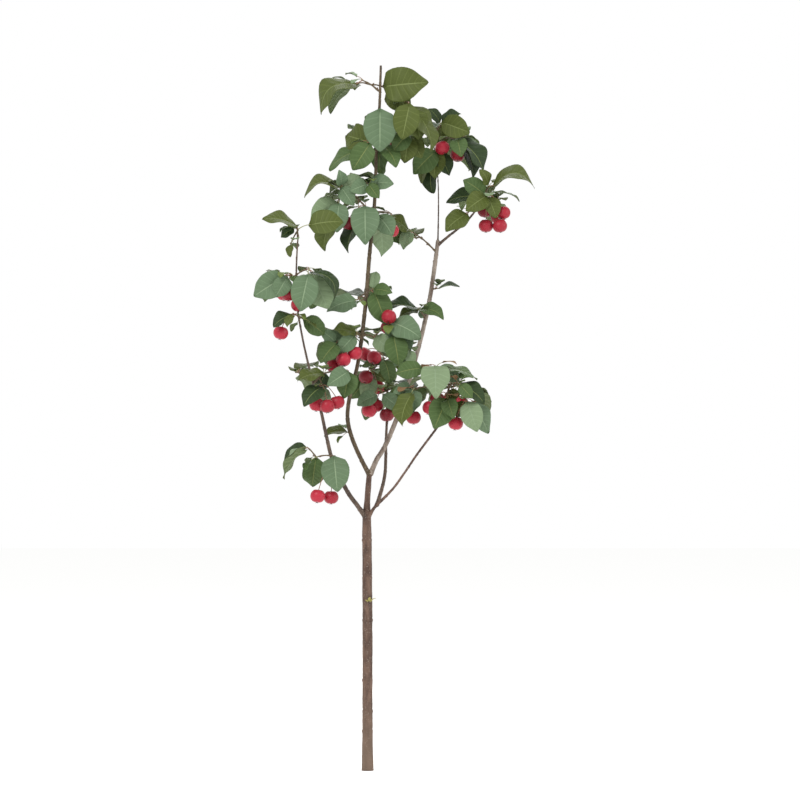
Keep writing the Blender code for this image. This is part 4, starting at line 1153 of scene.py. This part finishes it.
def fruit_arrays(fruit):
    """A fruit's skin: a flattened ball with a hollow for its stalk and a basin for its calyx."""
    around = np.linspace(0, 2 * np.pi, FRUIT_ROUND, endpoint=False)
    down = np.linspace(0, np.pi, FRUIT_DOWN + 1)
    phi, theta = np.meshgrid(down, around, indexing="ij")
    lobe = 1 + FRUIT_LOBE * np.cos(FRUIT_LOBES * theta) * np.sin(phi) * (phi > np.pi / 2)
    radius = FRUIT_RADIUS * lobe
    x = radius * np.sin(phi) * np.cos(theta)
    y = radius * np.sin(phi) * np.sin(theta)
    hollow = FRUIT_HOLLOW * np.exp(-(phi / HOLLOW_SPREAD) ** 2)
    basin = FRUIT_BASIN * np.exp(-((np.pi - phi) / BASIN_SPREAD) ** 2)
    z = FRUIT_RADIUS * FRUIT_FLATNESS * np.cos(phi) - hollow + basin
    turn = np.array(fruit.axis.to_track_quat("Z", "Y").to_matrix())
    corners = np.stack([x, y, z], axis=-1).reshape(-1, 3) @ turn.T + np.array(fruit.centre)
    faces = []
    for i in range(FRUIT_DOWN):
        for j in range(FRUIT_ROUND):
            k = (j + 1) % FRUIT_ROUND
            a, b = i * FRUIT_ROUND + j, i * FRUIT_ROUND + k
            c, d = a + FRUIT_ROUND, b + FRUIT_ROUND
            faces.append((a, c, d, b))
    return corners, faces, turn


def add_fruit(pieces, fruit, draw):
    """Adds a fruit with its calyx to the pieces."""
    corners, faces, turn = fruit_arrays(fruit)
    kind = draw.choice(FRUIT_KINDS)
    top = FRUIT_TOP_RINGS * FRUIT_ROUND
    slots = [FRUIT_TOP_SLOT] * top + [kind] * (len(faces) - top)
    pieces.add(corners, faces, slots)
    low = np.array(fruit.centre) - turn @ np.array((0, 0, FRUIT_RADIUS * FRUIT_FLATNESS - FRUIT_BASIN))
    for sepal in range(SEPALS):
        angle = 2 * math.pi * sepal / SEPALS
        out = turn @ np.array((math.cos(angle), math.sin(angle), 0))
        side = turn @ np.array((-math.sin(angle), math.cos(angle), 0))
        downward = turn @ np.array((0, 0, -1))
        tip = low + out * SEPAL_LENGTH + downward * SEPAL_LENGTH * SEPAL_DROOP
        shape = [low + side * SEPAL_WIDTH, low - side * SEPAL_WIDTH, low + downward * SEPAL_WIDTH, tip]
        pieces.add(shape, [(0, 1, 3), (1, 2, 3), (2, 0, 3), (0, 2, 1)], CALYX_SLOT)


def bent_line(start, end, lift, count):
    """A line that bows by a lift on its way."""
    control = start.lerp(end, 0.5) + lift
    return [start.lerp(control, t).lerp(control.lerp(end, t), t)
            for t in (i / count for i in range(count + 1))]


def add_tube(pieces, line, radii, sides, slot, step):
    """Adds a smooth tube to the pieces."""
    places, reach = resample(line, radii, step)
    corners, faces = tube_arrays(places, reach, sides)
    pieces.add(corners, faces, slot)


def add_twig(pieces, twig, draw):
    """Adds a twig with swollen nodes and a bud at each. Its foot runs on past the limb's centre line."""
    foot = twig.line[0] - (twig.line[1] - twig.line[0]).normalized() * TWIG_FOOT
    places, reach = resample([foot, *twig.line], [twig.radii[0], *twig.radii], TWIG_RING_STEP)
    walked = np.linspace(0, 1, len(places))
    count = max(2, int(len(places) * TWIG_RING_STEP / TWIG_NODE_STEP))
    swell = sum(np.exp(-((walked - (k + 0.5) / count) * count / TWIG_NODE_SPREAD) ** 2) for k in range(count))
    corners, faces = tube_arrays(places, reach * (TWIG_FULLNESS + TWIG_SWELL * swell), TWIG_ROUND)
    pieces.add(corners, faces, TWIG_SLOT)
    for k in range(count):
        index = min(len(places) - 2, int((k + 0.5) / count * len(places)))
        way = Vector(places[index + 1] - places[index]).normalized()
        aside = Vector([draw.uniform(-1, 1) for axis in range(3)]).cross(way).normalized()
        add_bud(pieces, Vector(places[index]) + aside * reach[index], (way + aside * BUD_LEAN).normalized())


def add_bud(pieces, foot, way):
    """Adds a small pointed bud."""
    line = np.array([tuple(foot + way * (BUD_LENGTH * t)) for t in BUD_STEPS])
    corners, faces = tube_arrays(line, np.array(BUD_FULLNESS) * BUD_RADIUS, BUD_ROUND)
    pieces.add(corners, faces, BUD_SLOT)


def walk_along(places):
    """The running length at each of an array of points."""
    return np.concatenate([[0], np.cumsum(np.linalg.norm(np.diff(places, axis=0), axis=1))])


def round_from(around, side):
    """How far each angle round a limb is from a side, either way."""
    return np.angle(np.exp(1j * (around - side)))


def bark_radii(name, places, reach, sides, draw):
    """A limb's radius at each corner: its taper with bumps, faint ribs, rings at its nodes and lenticels."""
    around = np.linspace(0, 2 * np.pi, sides, endpoint=False)
    walked = walk_along(places)
    made = np.repeat(reach[:, None], sides, axis=1)
    for i, place in enumerate(places):
        for j, angle in enumerate(around):
            at = Vector((math.cos(angle) * BARK_NOISE_ROUND, math.sin(angle) * BARK_NOISE_ROUND,
                         walked[i] * BARK_NOISE_ALONG + len(name)))
            made[i, j] *= 1 + BARK_BUMP * noise.noise(at) + BARK_GRAIN * noise.noise(at * BARK_GRAIN_SCALE)
    nodes = list(TRUNK_NODES) if name == "trunk" else []
    at = NODE_FIRST * draw.uniform(*NODE_FIRST_SPREAD)
    while name != "trunk" and at < walked[-1] - NODE_LAST:
        nodes.append(at)
        at += NODE_SPACING * draw.uniform(*NODE_SPACING_SPREAD)
    for at in nodes:
        ring = np.exp(-((walked - at) / NODE_RING_WIDTH) ** 2)[:, None]
        side = draw.uniform(0, 2 * math.pi)
        beside = np.exp(-(round_from(around, side) / NODE_SIDE_SPREAD) ** 2)
        lean = NODE_ALL_ROUND + NODE_AT_SIDE * beside[None, :]
        crease = np.exp(-((walked - at - NODE_CREASE_ABOVE) / NODE_CREASE_WIDTH) ** 2)[:, None]
        size = (reach[:, None] / LIMBS["trunk"].foot_radius) ** NODE_SIZE_POWER
        made += (ring * lean * NODE_RING_HEIGHT - crease * NODE_CREASE_DEPTH) * size
    for _ in range(int(walked[-1] * LENTICELS_PER_METRE)):
        along_at, side = draw.uniform(0, walked[-1]), draw.uniform(0, 2 * math.pi)
        spot = np.exp(-((walked - along_at) / LENTICEL_HEIGHT) ** 2)[:, None]
        beside = round_from(around, side) * reach.mean()
        spot = spot * np.exp(-(beside / LENTICEL_WIDTH) ** 2)[None, :]
        made += spot * LENTICEL_RISE
    return made


def limb_piece(name, materials, draw):
    """One limb as a closed mesh with its bark's relief, with a collar where it leaves its parent."""
    line, radii = limb_line(name)
    places, reach = resample(line, radii, BARK_STEP)
    walked = walk_along(places)
    if name in BARK_SHARES:
        reach = reach * np.interp(walked / walked[-1], *zip(*BARK_SHARES[name]))
    if LIMBS[name].parent:
        reach = reach * (1 + COLLAR_GROWTH * np.exp(-(walked / COLLAR_LENGTH) ** 2))
    sides = TRUNK_ROUND if name == "trunk" else BOUGH_ROUND
    corner_reach = bark_radii(name, places, reach, sides, draw)
    corners, faces = tube_arrays(places, corner_reach, sides)
    if name == "trunk":
        corners[:sides, 2] = 0.0
        corners[-2, 2] = 0.0
    pieces = Pieces()
    pieces.add(corners, faces, list(BARKS).index(BARK_OF[name]))
    return pieces.make(f"{name}_bark", list(materials.values()))


def make_bark(materials, draw):
    """The trunk and boughs as one skin, rounded off where they fork."""
    pieces = [limb_piece(name, materials, draw) for name in LIMBS]
    trunk, others = pieces[0], pieces[1:]
    joining = bpy.data.collections.new("bark_joining")
    bpy.context.scene.collection.children.link(joining)
    for piece in others:
        bpy.context.scene.collection.objects.unlink(piece)
        joining.objects.link(piece)
    join = trunk.modifiers.new("join", "BOOLEAN")
    join.operation = "UNION"
    join.operand_type = "COLLECTION"
    join.collection = joining
    join.solver = "MANIFOLD"
    bpy.context.view_layer.update()
    mesh = bpy.data.meshes.new_from_object(trunk.evaluated_get(bpy.context.evaluated_depsgraph_get()))
    for piece in pieces:
        bpy.data.objects.remove(piece)
    bpy.data.collections.remove(joining)
    forks = [limb_line(name)[0][0] for name, limb in LIMBS.items() if limb.parent]
    skin = bmesh.new()
    skin.from_mesh(mesh)
    near = [v for v in skin.verts if any((v.co - fork).length < FORK_REACH for fork in forks)]
    for _ in range(FORK_SMOOTHING):
        bmesh.ops.smooth_vert(skin, verts=near, factor=FORK_SMOOTHING_STEP,
                              use_axis_x=True, use_axis_y=True, use_axis_z=True)
    skin.to_mesh(mesh)
    skin.free()
    mesh.shade_smooth()
    return link_new("bark", mesh)


def srgb(*levels):
    """A colour given as it looks on screen, from 0 to 255, as Blender's linear one."""
    straight = [level / COLOUR_TOP / SRGB_SLOPE for level in levels]
    curved = [((level / COLOUR_TOP + SRGB_OFFSET) / (1 + SRGB_OFFSET)) ** SRGB_POWER for level in levels]
    linear = [s if level <= SRGB_STRAIGHT_TO else c for level, s, c in zip(levels, straight, curved)]
    return (*linear, 1)


def new_material(name, colour, roughness, specular=0.5):
    """A Principled material with its plain values set on the shader's own sockets."""
    made = bpy.data.materials.new(name)
    made.use_nodes = True
    shader = made.node_tree.nodes["Principled BSDF"]
    shader.inputs["Base Color"].default_value = colour
    shader.inputs["Roughness"].default_value = roughness
    shader.inputs["Specular IOR Level"].default_value = specular
    return made, made.node_tree, shader


def add_node(tree, kind, **values):
    """A node of this kind with values for its inputs, _ standing for each space in an input's name."""
    made = tree.nodes.new(f"ShaderNode{kind}")
    for name, value in values.items():
        made.inputs[name.replace("_", " ")].default_value = value
    return made


def add_mix(tree, second):
    """A mix of two colours, the second of them given."""
    made = tree.nodes.new("ShaderNodeMix")
    made.data_type = "RGBA"
    made.inputs["B"].default_value = second
    return made


def add_ramp(tree, places):
    """A colour ramp between two places."""
    made = tree.nodes.new("ShaderNodeValToRGB")
    for element, place in zip(made.color_ramp.elements, places):
        element.position = place
    return made


def wire(tree, *rows):
    """Links nodes, each row being a node, its output, the next node and its input."""
    for source, out, target, into in rows:
        tree.links.new(source.outputs[out], target.inputs[into])


def add_bump(tree, shader, scale, strength, distance):
    """Fine unevenness from noise."""
    place = add_node(tree, "TexCoord")
    grain = add_node(tree, "TexNoise", Scale=scale, Detail=BUMP_DETAIL)
    bump = add_node(tree, "Bump", Strength=strength, Distance=distance)
    wire(tree, (place, "Object", grain, "Vector"), (grain, "Fac", bump, "Height"),
         (bump, "Normal", shader, "Normal"))
    return place, grain


def bark_material(name, dark, light, foot=None):
    """Thin young bark: two browns that run together, with pale specks, greyer at the foot if asked."""
    made, tree, shader = new_material(name, dark, BARK_ROUGHNESS, BARK_SPECULAR)
    place = add_bump(tree, shader, BARK_BUMP_SCALE, BARK_BUMP_STRENGTH, BARK_BUMP_DISTANCE)[0]
    stretch = add_node(tree, "Mapping", Scale=PATCH_STRETCH)
    patches = add_node(tree, "TexNoise", Scale=BARK_PATCH_SCALE, Detail=PATCH_DETAIL)
    ramp = add_ramp(tree, PATCH_RAMP)
    ramp.color_ramp.elements[0].color = dark
    ramp.color_ramp.elements[1].color = light
    squash = add_node(tree, "Mapping", Scale=SPECK_SQUASH)
    specks = add_node(tree, "TexNoise", Scale=BARK_SPECK_SCALE)
    speck_ramp = add_ramp(tree, SPECK_RAMP)
    last = mix = add_mix(tree, BARK_SPECK)
    wire(tree, (place, "Object", stretch, "Vector"), (stretch, "Vector", patches, "Vector"),
         (patches, "Fac", ramp, "Fac"), (place, "Object", squash, "Vector"),
         (squash, "Vector", specks, "Vector"), (specks, "Fac", speck_ramp, "Fac"),
         (speck_ramp, "Color", mix, "Factor"), (ramp, "Color", mix, "A"))
    if foot:
        parts = add_node(tree, "SeparateXYZ")
        fade = add_node(tree, "MapRange", **FOOT_FADE)
        last = add_mix(tree, foot)
        wire(tree, (place, "Object", parts, "Vector"), (parts, "Z", fade, "Value"),
             (fade, "Result", last, "Factor"), (mix, "Result", last, "A"))
    wire(tree, (last, "Result", shader, "Base Color"))
    return made


def plain_parts(table, bump):
    """Materials of plain colours, each with a fine bump and a roughness that varies with it."""
    made = []
    for name, (colour, roughness, specular) in table.items():
        material, tree, shader = new_material(name, srgb(*colour), roughness, specular)
        place, grain = add_bump(tree, shader, *bump)
        uneven = add_node(tree, "MapRange", To_Min=roughness - ROUGHNESS_SPREAD,
                          To_Max=roughness + ROUGHNESS_SPREAD)
        wire(tree, (grain, "Fac", uneven, "Value"), (uneven, "Result", shader, "Roughness"))
        made.append(material)
    return made


def tint_of(name, leaf, front, draw):
    """A leaf's tint, by its mass, by whether it is in front and by whether it faces the front. The facing
    leaves take the painted sky sheen, and the leaves behind and edge-on the painted shade.
    """
    if not front:
        return draw.choice(BACK_TINTS)
    facing = abs(leaf.normal.normalized().y)
    facing_tints, edge_tints = MASS_TINTS.get(name, (FACING_TINTS, EDGE_TINTS))
    return draw.choice(facing_tints if facing > FACING_FROM else edge_tints)


def small_leaves(name, twig, spots, blocked, draw):
    """Young leaves along a twig, finer than the solids hold, clear of the limbs and of other masses."""
    made = []
    hub = twig.line[-1]
    for index in range(SMALL_LEAVES):
        for _ in range(BACK_TRIES):
            heading = draw.uniform(-math.pi, math.pi)
            leaf = back_leaf(hub, node_of(twig, index), heading, draw.uniform(*BACK_DROOP),
                             draw.uniform(*SMALL_SIZES))
            if inside_room(leaf.base, leaf.tip, spots) and leaf_fits(name, leaf, blocked, True):
                made.append(leaf)
                blocked.append(leaf_solid(name, leaf, BLADE_FROM))
                break
    return made


def dress_mass(name, crown, small, materials):
    """A mass's leaves, twigs and fruit, each kind a piece of its own, in place of its solid."""
    twigs, fruit, leaves = (part[name] for part in crown)
    draw = random.Random(LOOKS_SEED + len(name) + len(leaves))
    blades, wood, berries = Pieces(), Pieces(), Pieces()
    front = sum(len(twig.spray.blades) for twig in front_twigs(twigs))
    for index, leaf in enumerate(leaves + small):
        young = index >= len(leaves)
        if young:
            tint = draw.choice(MASS_YOUNG.get(name, YOUNG_TINTS))
        else:
            tint = tint_of(name, leaf, index < front, draw)
        add_leaf(blades, leaf, YOUNG_GRID if young else FULL_GRID, tint, draw)
        size = leaf.width / (BLADE_LENGTH * BLADE_WIDTH_SHARE)
        lift = UP * PETIOLE_BOW * (leaf.base - leaf.node).length
        end = leaf.base + (leaf.tip - leaf.base) * PETIOLE_INTO_BLADE
        line = bent_line(leaf.node, end, lift, PETIOLE_BENDS)
        reach = PETIOLE_RADIUS * (PETIOLE_LEAST + PETIOLE_BY_SIZE * size)
        add_tube(wood, line, [reach * share for share in PETIOLE_TAPER], PETIOLE_ROUND,
                 PETIOLE_SLOT if draw.random() < GREEN_PETIOLES else RED_PETIOLE_SLOT, PETIOLE_STEP)
    for twig in twigs:
        add_twig(wood, twig, draw)
    for one in fruit:
        add_fruit(berries, one, draw)
        top = one.centre + one.axis * (FRUIT_RADIUS * FRUIT_FLATNESS - FRUIT_HOLLOW)
        bow = one.axis * STALK_BOW * (top - one.node).length
        line = bent_line(one.node, top, bow * STALK_LIFT, STALK_BENDS)
        add_tube(wood, line, [FRUIT_STALK_RADIUS] * len(line), PETIOLE_ROUND, RED_PETIOLE_SLOT, PETIOLE_STEP)
    made = [blades.make(f"{name}_leaves", materials["leaf"]), wood.make(f"{name}_twigs", materials["wood"])]
    if fruit:
        made.append(berries.make(f"{name}_berries", materials["fruit"]))
    for piece in made:
        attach(piece, "root")
        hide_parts(name)


def make_floor():
    """A plain pale floor under the tree."""
    mesh = bpy.data.meshes.new("floor")
    r = FLOOR_HALF
    mesh.from_pydata([(-r, -r, 0), (r, -r, 0), (r, r, 0), (-r, r, 0)], [], [(0, 1, 2, 3)])
    floor = link_new("floor", mesh)
    mesh.materials.append(new_material("floor", srgb(*FLOOR_COLOUR), FLOOR_ROUGHNESS, FLOOR_SPECULAR)[0])


def make_light():
    """Even studio light: a white world, a broad light over the front and weaker ones from the side and back."""
    world = bpy.data.worlds.new("studio")
    world.use_nodes = True
    back = world.node_tree.nodes["Background"]
    back.inputs["Color"].default_value = (1, 1, 1, 1)
    back.inputs["Strength"].default_value = WORLD_STRENGTH
    bpy.context.scene.world = world
    for name, (place, energy, size) in LIGHTS.items():
        light = bpy.data.lights.new(name, "AREA")
        light.energy = energy
        light.size = size
        lamp = link_new(name, light)
        lamp.location = place
        lamp.rotation_euler = (LIGHT_AIM - Vector(place)).to_track_quat("-Z", "Y").to_euler()


def make_camera():
    """The photo's view: level, from the front, with a long lens."""
    data = bpy.data.cameras.new("camera")
    data.sensor_width = SENSOR_WIDTH
    data.lens = SENSOR_WIDTH * EYE_DISTANCE / FRAME_WIDTH
    data.clip_end = VIEW_REACH
    camera = link_new("camera", data)
    camera.location = (EYE_ACROSS, -EYE_DISTANCE, EYE_HEIGHT)
    camera.rotation_euler = (math.pi / 2, 0, 0)
    bpy.context.scene.camera = camera


def make_sprout(materials, draw):
    """The small pale shoot low on the trunk's front."""
    places, reach = resample(*limb_line("trunk"), BARK_STEP)
    index = int(np.argmin(np.abs(places[:, 2] - SPROUT_HEIGHT)))
    foot = Vector(places[index]) + SPROUT_WAY * (reach[index] * SPROUT_SEAT)
    sprout = Pieces()
    for turn, rise, size in SPROUT_LEAVES:
        way = Matrix.Rotation(math.radians(turn), 3, "Z") @ SPROUT_WAY
        way = (way + UP * rise).normalized()
        base = foot + way * SPROUT_STALK
        aside = way.cross(UP).normalized()
        tip = base + way * SPROUT_SIZE * size
        leaf = Leaf(foot, base, tip, aside.cross(way), SPROUT_ARCH, SPROUT_SIZE * size * SPROUT_WIDTH_SHARE)
        add_leaf(sprout, leaf, YOUNG_GRID, "sprout", draw)
    made = sprout.make("trunk_sprout", materials["leaf"])
    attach(made, "root")
    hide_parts("trunk")


def main():
    """Dresses the tree."""
    make_camera()
    make_light()
    make_floor()
    barks = {name: bark_material(name, srgb(*dark), srgb(*light), foot and srgb(*foot))
             for name, (dark, light, foot) in BARKS.items()}
    bark = make_bark(barks, random.Random(LOOKS_SEED))
    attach(bark, "root")
    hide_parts(*LIMBS)
    crown, blocked = grow_crown()
    materials = {"leaf": plain_parts(LEAF_COLOURS, LEAF_BUMP), "wood": plain_parts(WOOD_COLOURS, WOOD_BUMP),
                 "fruit": plain_parts(FRUIT_COLOURS, FRUIT_BUMP)}
    for name in MASSES:
        draw = random.Random(YOUNG_SEED + len(crown[2][name]))
        spots = [leaf.base.lerp(leaf.tip, 0.5) for leaf in crown[2][name]]
        small = [leaf for twig in crown[0][name] for leaf in small_leaves(name, twig, spots, blocked, draw)]
        dress_mass(name, crown, small, materials)
    make_sprout(materials, random.Random(LOOKS_SEED))


SECTION = ring_profile(TWIG_SIDES)
FULL_GRID = leaf_grid(VEINS)
YOUNG_GRID = leaf_grid(YOUNG_VEINS)
main()
bpy.data.objects.remove(SECTION)
bpy.context.scene.view_settings.view_transform = "Standard"
bpy.context.view_layer.update()
